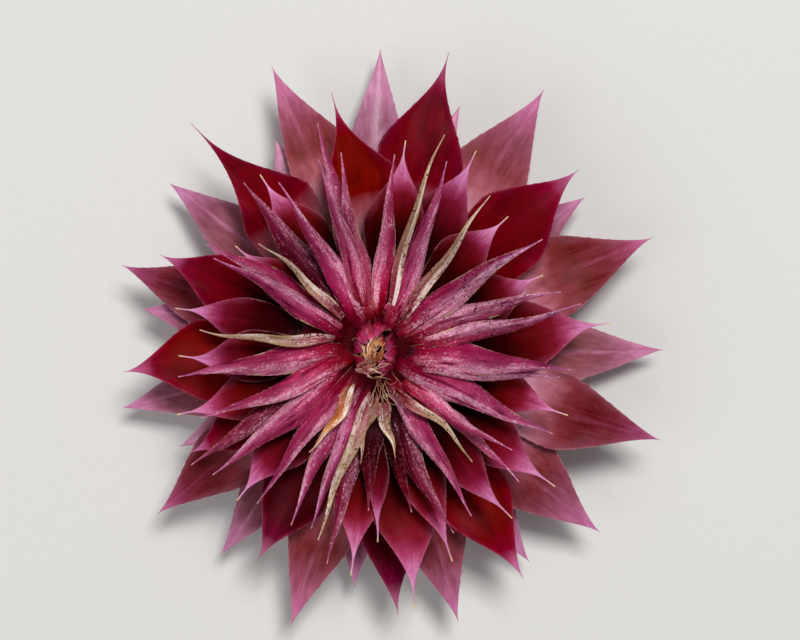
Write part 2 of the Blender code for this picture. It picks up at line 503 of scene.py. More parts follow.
    def material(self) -> bpy.types.Material:
        """Builds the finish from each blade's own coordinates.

        Returns:
            The material.
        """
        g = Graph(self.name)
        grain = Grain(g)
        frayed = grain.off_rib + (grain.meal - 0.5) * 0.10
        edge = g.step(frayed, 0.95, 1.0) * g.step(grain.patches, 0.36, 0.54)
        colour = self._shaded(g, grain, self._streaked(g, grain, self._flesh(g, grain)))
        colour = self._specked(g, grain, self._margined(g, grain, colour, edge))
        colour = g.blend(g.step(grain.along, self.spine_from, self.spine_from + 0.035), colour, self.spine)
        colour = g.blend(g.step(grain.front, 0.35, 0.65), self._underside(g, grain), colour)
        tone = {"Hue": 0.494 + grain.chance * 0.012, "Value": 0.94 + grain.chance * 0.28}
        tone.update({"Saturation": self.saturation, "Color": colour})
        shader = {
            "Base Color": g.wire(g.add("HueSaturation", None, tone)),
            "Roughness": self.roughness + (grain.meal - 0.5) * 0.25 + edge * 0.1,
            "Specular IOR Level": self.gloss,
            "Specular Tint": (*self.gloss_tint, 1.0),
        }
        height = grain.fibre * 0.7 + grain.meal * 0.3
        return g.finish(shader, height, strength=self.relief, depth=0.3 * MM)


GUARD = BractFinish(
    "pale_guard_skin",
    "outer_bract_pale",
    (
        (0.0, (0.14, 0.025, 0.03)), (0.42, (0.38, 0.13, 0.16)), (0.58, (0.29, 0.085, 0.105)),
        (0.74, (0.27, 0.085, 0.13)), (0.88, (0.5, 0.18, 0.33)), (1.0, (0.64, 0.26, 0.5)),
    ),
    rib=(0.64, 0.25, 0.44), rib_strength=0.5, rib_width=0.14, edge=(0.56, 0.28, 0.3),
    edge_strength=0.45, streak=(0.5, 0.24, 0.34), streak_strength=0.06, blotch_amount=0.45,
    fibrous=0.2, margin=(0.52, 0.22, 0.34), margin_strength=0.35, spine=(0.4, 0.16, 0.14),
    spine_from=0.985, back=(0.3, 0.1, 0.19), relief=0.15,
)
# A lighter copy of the guard's skin: partly its own paler colour and partly painted light where this bract
# faces the lamps, with a broad painted highlight along its midrib.
PALE_LIT = replace(
    GUARD,
    name="palest_guard_skin",
    stops=(
        (0.0, (0.3, 0.09, 0.12)), (0.46, (0.62, 0.32, 0.42)), (0.6, (0.38, 0.14, 0.21)),
        (0.72, (0.48, 0.2, 0.32)), (0.85, (0.72, 0.32, 0.5)), (1.0, (0.72, 0.3, 0.47)),
    ),
    rib=(0.86, 0.56, 0.7), rib_strength=0.7, rib_width=0.34, edge=(0.74, 0.45, 0.48),
)
BROAD = replace(
    GUARD,
    name="rose_bract_skin",
    slot="outer_bract_rose",
    stops=(
        (0.0, (0.2, 0.03, 0.05)), (0.34, (0.7, 0.36, 0.46)), (0.43, (0.54, 0.19, 0.24)),
        (0.53, (0.23, 0.034, 0.036)), (0.64, (0.13, 0.009, 0.007)), (0.78, (0.175, 0.018, 0.026)),
        (0.89, (0.33, 0.065, 0.145)), (0.96, (0.52, 0.16, 0.33)), (1.0, (0.62, 0.24, 0.47)),
    ),
    rib=(0.4, 0.09, 0.18), rib_strength=0.3, rib_from=0.5, blotch=(0.13, 0.03, 0.018),
    blotch_amount=0.4, margin=(0.42, 0.15, 0.22), margin_strength=0.22, saturation=1.04,
)
LILAC = replace(
    BROAD,
    name="lilac_bract_skin",
    stops=(
        (0.0, (0.2, 0.03, 0.04)), (0.36, (0.68, 0.34, 0.43)), (0.48, (0.42, 0.12, 0.15)),
        (0.6, (0.21, 0.032, 0.034)), (0.7, (0.23, 0.05, 0.075)), (0.82, (0.39, 0.12, 0.215)),
        (0.92, (0.54, 0.18, 0.36)), (1.0, (0.6, 0.22, 0.42)),
    ),
    rib=(0.56, 0.2, 0.34),
)
# The near-black foot and dark body are partly painted shade inside the cups. The lilac tip is partly painted
# light.
DARK = replace(
    GUARD,
    name="wine_bract_skin", slot="outer_bract_dark",
    stops=(
        (0.0, (0.04, 0.001, 0.002)), (0.18, (0.12, 0.003, 0.006)), (0.34, (0.16, 0.002, 0.003)),
        (0.46, (0.175, 0.0, 0.001)), (0.7, (0.145, 0.0, 0.001)), (0.82, (0.24, 0.014, 0.036)),
        (0.92, (0.52, 0.15, 0.31)), (1.0, (0.7, 0.3, 0.53)),
    ),
    rib=(0.26, 0.008, 0.02), rib_strength=0.25, edge=(0.44, 0.1, 0.14), streak=(0.2, 0.01, 0.02),
    blotch=(0.08, 0.001, 0.002), blotch_amount=0.6, margin=(0.36, 0.06, 0.11), margin_strength=0.22,
    saturation=1.06, gloss=0.05, back=(0.22, 0.03, 0.09),
)
# A shaded copy of the wine skin: its darker body is painted shade on the lower bracts, which lie in shade.
SHADED_WINE = replace(
    DARK,
    name="garnet_bract_skin",
    stops=(
        (0.0, (0.02, 0.0, 0.001)), (0.4, (0.055, 0.0, 0.001)), (0.68, (0.06, 0.0, 0.002)),
        (0.82, (0.16, 0.012, 0.04)), (0.92, (0.44, 0.14, 0.25)), (1.0, (0.62, 0.26, 0.42)),
    ),
)
ROSY = replace(
    DARK,
    name="rosy_foot_bract_skin",
    stops=(
        (0.0, (0.3, 0.05, 0.07)), (0.2, (0.66, 0.32, 0.41)), (0.31, (0.48, 0.14, 0.18)),
        (0.42, (0.2, 0.002, 0.004)), (0.74, (0.145, 0.0, 0.001)), (0.84, (0.22, 0.018, 0.045)),
        (0.92, (0.4, 0.1, 0.2)), (1.0, (0.6, 0.22, 0.38)),
    ),
    wander=0.06, rib_from=0.6,
)
# The near-black lower half is painted shade inside the cup. The bright tips are partly painted light.
SPINY = replace(
    DARK,
    name="cup_bract_skin", slot="middle_bract",
    stops=(
        (0.0, (0.015, 0.0, 0.0)), (0.34, (0.06, 0.0, 0.001)), (0.5, (0.145, 0.0, 0.002)),
        (0.61, (0.21, 0.002, 0.018)), (0.7, (0.38, 0.03, 0.12)), (0.78, (0.56, 0.125, 0.33)),
        (0.9, (0.73, 0.31, 0.57)), (1.0, (0.66, 0.42, 0.36)),
    ),
    spine=(0.68, 0.52, 0.26), spine_from=0.955, saturation=0.98, edge=(0.52, 0.14, 0.18),
    edge_strength=0.55, streak=(0.72, 0.38, 0.58), streak_strength=0.25, streak_from=0.76,
    blotch_amount=0.0, margin=(0.4, 0.07, 0.15), margin_strength=0.3, fibrous=0.2,
)
# The near-black and dark crimson foot is partly painted shade where the narrow bracts crowd into the middle.
NARROW = BractFinish(
    "fibrous_bract_skin",
    "inner_bract",
    (
        (0.0, (0.03, 0.0, 0.002)), (0.06, (0.22, 0.002, 0.014)), (0.14, (0.44, 0.01, 0.052)),
        (0.26, (0.58, 0.036, 0.14)), (0.45, (0.58, 0.048, 0.175)), (0.65, (0.52, 0.045, 0.155)),
        (0.85, (0.47, 0.06, 0.19)), (1.0, (0.6, 0.18, 0.42)),
    ),
    rib=(0.72, 0.24, 0.44), rib_strength=0.22, rib_width=0.5, rib_from=0.1, edge=(0.6, 0.38, 0.24),
    edge_strength=0.6, streak=(0.84, 0.46, 0.62), streak_strength=0.48, streak_start=0.575,
    streak_from=0.15, saturation=1.02, halves=1.0, tint_and_shade=(0.22, 0.02, 0.1), dry_amount=0.18,
    spine=(0.54, 0.26, 0.34), spine_from=0.965, wander=0.14, back=(0.28, 0.03, 0.09),
    back_foot=(0.32, 0.08, 0.08), roughness=0.5, relief=1.0,
)
SPECKED = replace(
    NARROW,
    name="specked_bract_skin", speck_amount=0.9, streak_start=0.555, dry_amount=0.3,
    rib=(0.62, 0.34, 0.5), rib_strength=0.6,
)
PLUM = replace(
    NARROW,
    name="plum_bract_skin",
    stops=(
        (0.0, (0.02, 0.0, 0.001)), (0.3, (0.14, 0.002, 0.01)), (0.6, (0.26, 0.012, 0.045)),
        (0.8, (0.3, 0.03, 0.08)), (1.0, (0.46, 0.13, 0.23)),
    ),
    rib=(0.44, 0.12, 0.24), streak=(0.62, 0.28, 0.42), streak_strength=0.4, halves=0.7, dry_amount=0.1,
)
# Painted shade: near-black bracts sunk low in a hollow, dark with the shade there.
HOLLOW_SHADE = replace(
    PLUM,
    name="hollow_bract_skin",
    stops=(
        (0.0, (0.01, 0.0, 0.0)), (0.55, (0.05, 0.0, 0.002)), (0.8, (0.14, 0.003, 0.014)),
        (1.0, (0.36, 0.07, 0.14)),
    ),
    rib_strength=0.0, streak_strength=0.15, halves=0.0, dry_amount=0.0,
)
DRY = replace(
    NARROW,
    name="dried_bract_skin",
    stops=(
        (0.0, (0.16, 0.004, 0.014)), (0.12, (0.42, 0.04, 0.09)), (0.28, (0.52, 0.19, 0.2)),
        (0.46, (0.58, 0.4, 0.24)), (0.75, (0.76, 0.6, 0.4)), (1.0, (0.6, 0.42, 0.23)),
    ),
    rib=(0.78, 0.62, 0.5), rib_strength=0.15, edge=(0.26, 0.1, 0.05), edge_strength=0.5,
    streak=(0.9, 0.8, 0.68), streak_strength=0.85, streak_from=0.1, tint_and_shade=(0.34, 0.14, 0.09),
    dry=(0.56, 0.4, 0.19), dry_amount=0.24, speck_amount=0.8, spine=(0.62, 0.46, 0.26),
    back=(0.36, 0.16, 0.08),
)
GOLDEN = replace(
    DRY,
    name="golden_scrap_skin", slot="bud_flesh",
    stops=(
        (0.0, (0.22, 0.03, 0.015)), (0.35, (0.6, 0.15, 0.04)), (0.75, (0.88, 0.42, 0.13)),
        (1.0, (0.94, 0.64, 0.36)),
    ),
    rib=(0.66, 0.34, 0.18), speck_amount=0.0, back=(0.3, 0.08, 0.03),
)
BLUSH = replace(
    GOLDEN,
    name="blush_scrap_skin",
    stops=(
        (0.0, (0.34, 0.06, 0.06)), (0.5, (0.74, 0.24, 0.26)), (1.0, (0.8, 0.56, 0.5)),
    ),
    rib=(0.8, 0.55, 0.5),
)
CRIMSON = replace(
    NARROW,
    name="crimson_scale_skin", slot="bud_flesh",
    stops=(
        (0.0, (0.03, 0.0, 0.002)), (0.22, (0.26, 0.002, 0.014)), (0.55, (0.5, 0.012, 0.065)),
        (0.85, (0.6, 0.04, 0.17)), (1.0, (0.6, 0.1, 0.24)),
    ),
    rib_strength=0.1, streak_strength=0.25, streak_from=0.6, halves=0.4, dry_amount=0.06,
)
BUD = replace(
    NARROW,
    name="bud_skin", slot="bud_flesh",
    stops=(
        (0.0, (0.04, 0.001, 0.003)), (0.3, (0.2, 0.003, 0.016)), (0.52, (0.5, 0.03, 0.06)),
        (0.66, (0.74, 0.2, 0.07)), (0.82, (0.88, 0.42, 0.13)), (1.0, (0.92, 0.64, 0.36)),
    ),
    rib_strength=0.0, streak=(0.9, 0.66, 0.44), streak_strength=0.45, halves=0.2, dry_amount=0.1,
    dry=(0.5, 0.22, 0.09),
)


@dataclass(frozen=True)
class FibreFinish:
    """The surface of dried threads."""

    name: str = "dried_fibre"
    slot: str = "bud_flesh"
    brown: Colour = (0.34, 0.13, 0.05)
    straw: Colour = (0.72, 0.50, 0.32)
    cloud_scale: float = 700.0
    fuzz_scale: float = 4000.0
    roughness: float = 0.6
    relief: float = 0.3

    def material(self) -> bpy.types.Material:
        """Builds the finish.

        Returns:
            The material.
        """
        g = Graph(self.name)
        place = g.wire(g.add("TexCoord"), "Object")
        cloud = g.noise(place, self.cloud_scale, 3.0)
        colour = g.blend(g.step(cloud, 0.35, 0.65), self.brown, self.straw)
        shader = {"Base Color": colour, "Roughness": self.roughness}
        return g.finish(shader, g.noise(place, self.fuzz_scale), self.relief, depth=0.05 * MM)


@dataclass(frozen=True)
class HeartFinish:
    """The heart's skin, green low down and wine red at the crown, and the stem's pale cut."""

    name: str = "heart_skin"
    slot: str = "heart_flesh"
    top: float = 24.0 * MM
    stops: tuple[tuple[float, Colour], ...] = (
        (0.0, (0.20, 0.21, 0.09)), (0.22, (0.26, 0.20, 0.10)), (0.45, (0.24, 0.09, 0.09)),
        (0.70, (0.09, 0.003, 0.008)), (0.90, (0.05, 0.0, 0.002)),
    )
    cut_radius: float = 9.0 * MM
    cut_stops: tuple[tuple[float, Colour], ...] = (
        (0.0, (0.50, 0.46, 0.27)), (0.52, (0.56, 0.52, 0.32)), (0.66, (0.34, 0.27, 0.13)),
        (0.74, (0.48, 0.42, 0.22)), (0.93, (0.30, 0.24, 0.10)), (1.0, (0.17, 0.12, 0.05)),
    )
    fibre: Colour = (0.40, 0.28, 0.16)
    pore: Colour = (0.22, 0.13, 0.06)
    cloud_scale: float = 220.0
    pore_scale: float = 2600.0
    roughness: float = 0.6
    gloss: float = 0.03
    relief: float = 0.5

    def material(self) -> bpy.types.Material:
        """Builds the finish.

        Returns:
            The material.
        """
        g = Graph(self.name)
        place = g.wire(g.add("TexCoord"), "Object")
        parts = g.add("SeparateXYZ", None, {0: place})
        x, y, z = (g.wire(parts, i) for i in range(3))
        from_axis = g.maths("SQRT", x * x + y * y)
        cloud = g.noise(place, self.cloud_scale, 3.0)
        fibre = g.noise(g.stretched(place, (1.0, 1.0, 0.12)), self.pore_scale, 3.0)
        pores = g.noise(place, self.pore_scale, 3.0, 0.7)
        rise = z * (1.0 / self.top) + (cloud - 0.5) * 0.3
        low_down = g.step(rise, 0.55, 0.30)
        skin = g.ramp(rise, self.stops)
        skin = g.blend(g.step(fibre, 0.52, 0.66) * low_down * 0.35, skin, self.fibre)
        cut = g.ramp(from_axis * (1.0 / self.cut_radius) + (cloud - 0.5) * 0.12, self.cut_stops)
        cut = g.blend(g.step(pores, 0.56, 0.66) * 0.5, cut, self.pore)
        shader = {
            "Base Color": g.blend(g.step(z, 0.25 * MM, 0.06 * MM), skin, cut),
            "Roughness": self.roughness + (fibre - 0.5) * 0.3,
            "Specular IOR Level": self.gloss,
        }
        return g.finish(shader, fibre * 0.6 + pores * 0.4, self.relief, depth=0.2 * MM)


@dataclass(frozen=True)
class FloorFinish:
    """A pale, faintly speckled floor."""

    name: str = "pale_floor"
    shade: Colour = (0.74, 0.73, 0.71)
    light: Colour = (0.78, 0.77, 0.75)
    speckle_scale: float = 900.0
    roughness: float = 0.8
    relief: float = 0.1

    def material(self) -> bpy.types.Material:
        """Builds the finish.

        Returns:
            The material.
        """
        g = Graph(self.name)
        speckle = g.noise(g.wire(g.add("TexCoord"), "Object"), self.speckle_scale, 3.0)
        paint = {"Base Color": g.blend(speckle, self.shade, self.light), "Roughness": self.roughness}
        return g.finish(paint, speckle, self.relief, depth=0.1 * MM)


# Blades


class Skins:
    """The materials of the bracts and threads, each made once."""

    def __init__(self) -> None:
        """Starts with none."""
        self._made: dict[str, bpy.types.Material] = {}

    def of(self, finish: Union[BractFinish, FibreFinish]) -> bpy.types.Material:
        """Gives the material of a finish, and makes it where it is new.

        Args:
            finish: the finish.

        Returns:
            Its material.
        """
        if finish.name not in self._made:
            self._made[finish.name] = finish.material()
        return self._made[finish.name]


class Section(Enum):
    """How a blade bends from margin to margin."""

    CUP = "margins raised"
    PLUMP = "middle raised"
    FOLD = "folded up along the midrib"
    KEEL = "folded down along the midrib"


@dataclass(frozen=True)
class Habit:
    """How the bracts of one kind have grown.

    The first shares set the outline: its width at the foot, where it is widest and how it narrows.
    Depth is a length for a cup, and a steepness otherwise.
    """

    section: Section
    depth: float
    foot_share: float
    widest_at: float
    fullness: float
    taper: float
    thickness: float
    spine_half_width: float = 0.22 * MM
    curl: float = 0.0
    tooth: float = 0.0
    wave: float = 0.0
    sway: float = 0.0
    buckle: float = 0.0
    ridge: float = 0.0
    slimness: float = 1.0
    rows: int = 72
    columns: int = 19
    WAVES: ClassVar[tuple[float, float]] = (2.3, 5.1)
    RIDGES: ClassVar[tuple[float, float]] = (14.0, 25.0)

    def outline(self, share: np.ndarray) -> np.ndarray:
        """The bract's shape in plan.

        Args:
            share: shares of its length.

        Returns:
            Its width there, as a share of the widest.
        """
        opening = np.sin(np.pi / 2 * np.minimum(share / self.widest_at, 1.0))
        rising = self.foot_share + (1.0 - self.foot_share) * opening
        beyond = np.clip((share - self.widest_at) / (1.0 - self.widest_at), 0.0, 1.0)
        return np.where(share < self.widest_at, rising, (1.0 - beyond**self.fullness) ** self.taper)

    def bent(
        self, share: np.ndarray, side: np.ndarray, outline: np.ndarray, width: np.ndarray
    ) -> tuple[np.ndarray, np.ndarray]:
        """Bends the bract from margin to margin.

        Args:
            share: the share of its length at each point.
            side: -1 at one margin and 1 at the other.
            outline: its width there, as a share of the widest.
            width: its half width there.

        Returns:
            How far each point stands beside and above the midline.
        """
        if self.section is Section.CUP:
            return side * width, self.depth * outline * (side**2 - 0.45) * np.clip(1.2 - share, 0.25, 1.0)
        if self.section is Section.PLUMP:
            bend = self.depth * (1.0 - 0.25 * share)
            beside = width * np.sin(bend * side) / np.sin(bend)
            return beside, width * (np.cos(bend * side) - 0.35 - 0.65 * np.cos(bend)) / np.sin(bend)
        if self.section is Section.FOLD:
            return side * width, self.depth * width * (np.sqrt(side**2 + 0.02) - 0.5)
        ridge = 0.55 - np.sqrt(side**2 + 0.015)
        return side * width, self.depth * width * ridge * np.clip(share * 4.0, 0.2, 1.0)

    def relief(
        self, share: np.ndarray, side: np.ndarray, outline: np.ndarray, phases: np.ndarray
    ) -> tuple[np.ndarray, ...]:
        """Shapes the bract's surface.

        Args:
            share: the share of its length at each point.
            side: -1 at one margin and 1 at the other.
            outline: its width there, as a share of the widest.
            phases: eight angles that shift its waves.

        Returns:
            The heights of its curled margins, its wavy margins, its buckles and its fine ridges.
        """
        curl = np.clip((np.abs(side) - 0.6) / 0.4, 0.0, 1.0) ** 2
        margin = np.abs(side) ** 3
        long_waves, short_waves = (2 * np.pi * share * count for count in self.WAVES)
        waves = np.sin(long_waves + np.where(side > 0, phases[1], phases[2]))
        waves = waves + 0.6 * np.sin(short_waves + np.where(side > 0, phases[3], phases[4]))
        swell = np.sin(4.0 * share + 1.3 * side + phases[5]) * np.sin(7.0 * share - 2.0 * side + phases[6])
        coarse, fine = (side * count for count in self.RIDGES)
        lines = np.sin(coarse + 0.8 * np.sin(share * 5.0 + phases[7]))
        lines = lines + 0.6 * np.sin(fine + 2.0 * share + phases[6])
        return (
            self.curl * outline * curl,
            self.wave * waves * margin * outline,
            self.buckle * swell * np.minimum(outline, 0.8),
            self.ridge * lines * np.minimum(outline * 1.2, 1.0),
        )


GUARD_HABIT = Habit(
    Section.CUP, 0.5 * MM, 0.42, 0.52, 1.25, 1.2, 0.75 * MM, curl=0.15 * MM, tooth=0.14 * MM, wave=0.22 * MM,
    sway=0.5 * MM, buckle=0.30 * MM,
)
BROAD_HABIT = replace(GUARD_HABIT, fullness=1.4, taper=1.45, depth=0.7 * MM, wave=0.40 * MM)
DARK_HABIT = replace(
    GUARD_HABIT, foot_share=0.46, fullness=1.45, taper=1.85, depth=1.0 * MM, wave=0.50 * MM, curl=0.55 * MM
)
SHOULDERED_HABIT = replace(DARK_HABIT, fullness=1.5, taper=2.35, curl=0.9 * MM, wave=0.6 * MM)
HOODED_HABIT = replace(SHOULDERED_HABIT, fullness=1.2, taper=2.5, widest_at=0.5, curl=1.1 * MM)
LONG_HOODED_HABIT = replace(HOODED_HABIT, widest_at=0.42)
SPINY_HABIT = Habit(
    Section.CUP, 1.1 * MM, 0.50, 0.40, 1.9, 3.0, 0.65 * MM, spine_half_width=0.42 * MM, curl=0.35 * MM,
    tooth=0.10 * MM, wave=0.30 * MM, sway=0.7 * MM, buckle=0.2 * MM,
)
NARROW_HABIT = Habit(
    Section.KEEL, 0.85, 0.46, 0.38, 1.15, 1.35, 0.5 * MM, spine_half_width=0.26 * MM, tooth=0.07 * MM,
    wave=0.25 * MM, sway=0.9 * MM, buckle=0.22 * MM, ridge=0.05 * MM, slimness=0.82, columns=23,
)
PLUMP_HABIT = replace(NARROW_HABIT, section=Section.PLUMP, depth=0.95)
LEAN_HABIT = replace(
    NARROW_HABIT, section=Section.FOLD, depth=1.0, foot_share=0.35, widest_at=0.25, sway=1.2 * MM,
    wave=0.3 * MM, slimness=0.78, taper=1.2,
)
SCRAP_HABIT = replace(
    LEAN_HABIT, thickness=0.2 * MM, wave=0.15 * MM, buckle=0.2 * MM, sway=0.25 * MM, rows=40, columns=11
)


@dataclass
class Midline:
    """Where a bract runs: its foot and tip in plan, its heights between them and its half width."""

    foot: np.ndarray
    tip: np.ndarray
    shares: np.ndarray
    heights: np.ndarray
    half_width: float
    TIP_SLICE: ClassVar[float] = 0.25 * MM
    FOOT_SLICE: ClassVar[float] = 0.2 * MM
    RING_GAP: ClassVar[float] = 0.05

    @classmethod
    def of_solid(cls, points: np.ndarray) -> "Midline":
        """Reads the midline off a packed bract.

        Args:
            points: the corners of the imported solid.

        Returns:
            Its midline.
        """
        plan = points[:, :2]
        distance = np.hypot(plan[:, 0], plan[:, 1])
        tip = plan[distance > distance.max() - cls.TIP_SLICE].mean(axis=0)
        foot = plan[distance.argmin()]
        for _ in range(4):
            along = (tip - foot) / np.linalg.norm(tip - foot)
            reach = (plan - foot) @ along
            foot = plan[reach < reach.min() + cls.FOOT_SLICE].mean(axis=0)
        length = np.linalg.norm(tip - foot)
        along = (tip - foot) / length
        share = (plan - foot) @ along / length
        order = np.argsort(share)
        splits = np.nonzero(np.diff(share[order]) > cls.RING_GAP)[0] + 1
        groups = np.split(order, splits)
        shares = np.array([share[g].mean() for g in groups])
        heights = np.array([(points[g, 2].min() + points[g, 2].max()) / 2 for g in groups])
        sideways = (plan - foot) @ np.array([-along[1], along[0]])
        return cls(foot, tip, shares, heights, float(np.abs(sideways).max()))

    @property
    def length(self) -> float:
        """Length in plan."""
        return float(np.linalg.norm(self.tip - self.foot))

    def drawn_in(self, radius: float, height: float) -> "Midline":
        """The same line, but begun nearer to the axis.

        Args:
            radius: its new foot's distance from the axis.
            height: its new foot's height.

        Returns:
            The longer line.
        """
        foot = self.foot * radius / np.hypot(*self.foot)
        added = 1.0 - self.length / float(np.linalg.norm(self.tip - foot))
        shares = np.concatenate([[0.0], added + (1.0 - added) * self.shares])
        return Midline(foot, self.tip, shares, np.concatenate([[height], self.heights]), self.half_width)

    def height(self, share: np.ndarray) -> np.ndarray:
        """Smooth height at shares of the length."""
        order = min(5, len(self.shares) - 1)
        return np.polynomial.Polynomial.fit(self.shares, self.heights, order)(share)

    def radial(self, radius: np.ndarray) -> np.ndarray:
        """Reads the flare that the bract lies on.

        Args:
            radius: distances from the axis.

        Returns:
            The heights there.
        """
        share = np.linspace(0.0, 1.0, 40)
        plan = self.foot + np.outer(share, self.tip - self.foot)
        return np.interp(radius, np.hypot(plan[:, 0], plan[:, 1]), self.height(share))


@dataclass
class Blade:
    """One bract as a closed, curved sheet."""

    name: str
    midline: Midline
    habit: Habit
    finish: BractFinish
    seed: int
    twist: float = 0.0
    skew: float = 0.0
    bend: Optional[float] = None
    GRAIN_STEP: ClassVar[float] = 7.3 * MM
    TIP_THINNING: ClassVar[float] = 0.65
    MARGIN_THINNING: ClassVar[float] = 0.82

    def _sheet(self) -> tuple[np.ndarray, np.ndarray, np.ndarray, np.ndarray]:
        """The middle surface of the bract.

        Returns:
            Its points, shares along, shares across and half widths, over rows and columns.
        """
        habit, line, chance = self.habit, self.midline, np.random.default_rng(self.seed)
        share = np.linspace(0.0, 1.0, habit.rows)[:, None]
        side = np.sin(np.linspace(-np.pi / 2, np.pi / 2, habit.columns))[None, :]
        share, side = np.broadcast_arrays(share, side)
        outline = habit.outline(share)
        spine = habit.spine_half_width * (1.0 - 0.75 * share)
        width = np.maximum(line.half_width * habit.slimness * outline, spine)
        width = width * (1.0 + self.skew * np.sign(side) * np.sin(np.pi * share))

        phases = chance.uniform(0.0, 2 * np.pi, 8)
        drift = habit.sway * chance.uniform(-1.0, 1.0)
        sway = (drift if self.bend is None else self.bend) * np.sin(np.pi * share**1.3)
        sway = sway + 0.3 * habit.sway * np.sin(3 * np.pi * share + phases[0]) * share * (1 - share) * 4
        offset, rise = habit.bent(share, side, outline, width)
        rise = rise + self.twist * offset * share
        for height in habit.relief(share, side, outline, phases):
            rise = rise + height
        offset = offset + self._teeth(share, chance) * np.minimum(outline * 2.0, 1.0)

        forward = (line.tip - line.foot) / line.length
        sideways = np.array([-forward[1], forward[0]])
        plan = line.foot + share[..., None] * (line.tip - line.foot)
        plan = plan + (offset + sway)[..., None] * sideways
        height = line.height(share) + rise
        return np.dstack([plan, height]), share, side, width

    def _teeth(self, share: np.ndarray, chance: np.random.Generator) -> np.ndarray:
        """Gives the margins small teeth, one on every third row.

        Args:
            share: the share of the length at each point.
            chance: where the teeth's sizes are drawn from.

        Returns:
            How far each point moves sideways.
        """
        rows = share.shape[0]
        every_third = np.arange(rows) % 3
        left, right = (
            np.where(every_third == shift, 1.0, 0.0) * chance.uniform(0.2, 1.0, rows) for shift in (0, 1)
        )
        out = np.zeros_like(share)
        out[:, 0] = -left * self.habit.tooth
        out[:, -1] = right * self.habit.tooth
        return out

    def build(self, skins: Skins, *nodes: str) -> None:
        """Makes the bract and fixes it to the head.

        Args:
            skins: the materials made so far.
            nodes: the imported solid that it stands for, if there is one.
        """
        middle, share, side, width = self._sheet()
        rows, columns = share.shape
        along = np.gradient(middle, axis=0)
        across = np.gradient(middle, axis=1)
        normal = np.cross(along, across)
        normal /= np.maximum(np.linalg.norm(normal, axis=2, keepdims=True), 1e-12)
        normal *= np.sign(normal[..., 2:].mean())
        thickness = self.habit.thickness * (1.0 - self.TIP_THINNING * share)
        thickness = thickness * (1.0 - self.MARGIN_THINNING * side**6)
        thickness = np.minimum(thickness, 1.6 * width)[..., None]
        points = np.concatenate([middle + normal * thickness / 2, middle - normal * thickness / 2])
        blade = np.stack([share, side, np.ones_like(share)], axis=2)
        back = blade * (1.0, 1.0, 0.0)
        apart = np.full_like(share, self.seed * self.GRAIN_STEP)
        grain = np.stack([share * self.midline.length, side * width, apart], axis=2)
        attributes = {
            "blade": np.concatenate([blade, back]).reshape(-1, 3),
            "grain": np.tile(grain.reshape(-1, 3), (2, 1)) / MM,
        }
        piece = sheet_object(self.name, points.reshape(-1, 3), closed_grid(rows, columns), attributes)
        piece.data.materials.append(skins.of(self.finish))
        fix_to_head(piece, self.finish.slot, *nodes)


def closed_grid(rows: int, columns: int) -> list[tuple[int, int, int, int]]:
    """Faces of a thick sheet whose upper points come first, row by row, and its lower points next.

    Args:
        rows: points along the sheet.
        columns: points across it.

    Returns:
        Its faces, turned outwards.
    """
    below = rows * columns
    faces = []
    for row in range(rows - 1):
        for column in range(columns - 1):
            a = row * columns + column
            b, c, d = a + columns, a + columns + 1, a + 1
            faces.append((a, b, c, d))
            faces.append((d + below, c + below, b + below, a + below))
    loop = list(range(columns))
    loop += [r * columns + columns - 1 for r in range(1, rows)]
    loop += [(rows - 1) * columns + c for c in range(columns - 2, -1, -1)]
    loop += [r * columns for r in range(rows - 2, 0, -1)]
    for here, ahead in zip(loop, loop[1:] + loop[:1]):
        faces.append((here, ahead, ahead + below, here + below))
    return faces


def linked(name: str, data: bpy.types.ID) -> bpy.types.Object:
    """Adds an object to the scene.

    Args:
        name: its name.
        data: its mesh, curve, lamp or camera data.

    Returns:
        The new object.
    """
    made = bpy.data.objects.new(name, data)
    bpy.context.scene.collection.objects.link(made)
    return made


def sheet_object(
    name: str,
    points: np.ndarray,
    faces: Sequence[tuple[int, ...]],
    attributes: Optional[dict[str, np.ndarray]] = None,
) -> bpy.types.Object:
    """Makes a smooth object with vector attributes.

    Args:
        name: the object's name.
        points: its points.
        faces: its faces.
        attributes: a vector for each point, by the attribute's name.

    Returns:
        The new object, with its faces turned outwards.
    """
    mesh = bpy.data.meshes.new(name)
    mesh.from_pydata(points.tolist(), [], faces)
    for key, values in (attributes or {}).items():
        layer = mesh.attributes.new(key, "FLOAT_VECTOR", "POINT")
        layer.data.foreach_set("vector", values.astype(np.float32).ravel())
    mesh.shade_smooth()
    mesh.set_sharp_from_angle(angle=SHARP_ANGLE)
    return linked(name, mesh)


def fix_to_head(piece: bpy.types.Object, slot: str, *nodes: str) -> None:
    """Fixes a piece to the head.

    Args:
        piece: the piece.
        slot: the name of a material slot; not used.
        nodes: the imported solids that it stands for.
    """
    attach(piece, "root")
    if nodes:
        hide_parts(*nodes)


# The head


@dataclass(frozen=True)
class Character:
    """What sets one bract apart from the rest of its row.

    Twist leans it about its midrib, skew makes one half wider, and bend bows it sideways.
    """

    finish: Optional[BractFinish] = None
    habit: Optional[Habit] = None
    twist: float = 0.0
    skew: float = 0.0
    bend: Optional[float] = None


PLAIN = Character()
CHARACTERS = {
    "guard_bract_03": Character(PALE_LIT),
    "broad_bract_02": Character(LILAC),
    "broad_bract_03": Character(LILAC, skew=-0.35, bend=-0.5 * MM),
    "broad_bract_06": Character(LILAC),
    "broad_bract_07": Character(LILAC),
    "broad_bract_08": Character(LILAC),
    "dark_bract_01": Character(SPINY, SPINY_HABIT),
    "dark_bract_03": Character(ROSY, SHOULDERED_HABIT),
    "dark_bract_04": Character(ROSY, HOODED_HABIT, twist=-0.25, skew=-0.15, bend=-0.4 * MM),
    "dark_bract_05": Character(ROSY, LONG_HOODED_HABIT, twist=-0.20, skew=-0.20, bend=-0.7 * MM),
    "dark_bract_09": Character(SHADED_WINE),
    "dark_bract_10": Character(SHADED_WINE),
    "dark_bract_11": Character(SPINY, SPINY_HABIT),
    "narrow_bract_01": Character(SPECKED),
    "narrow_bract_02": Character(SPECKED),
}


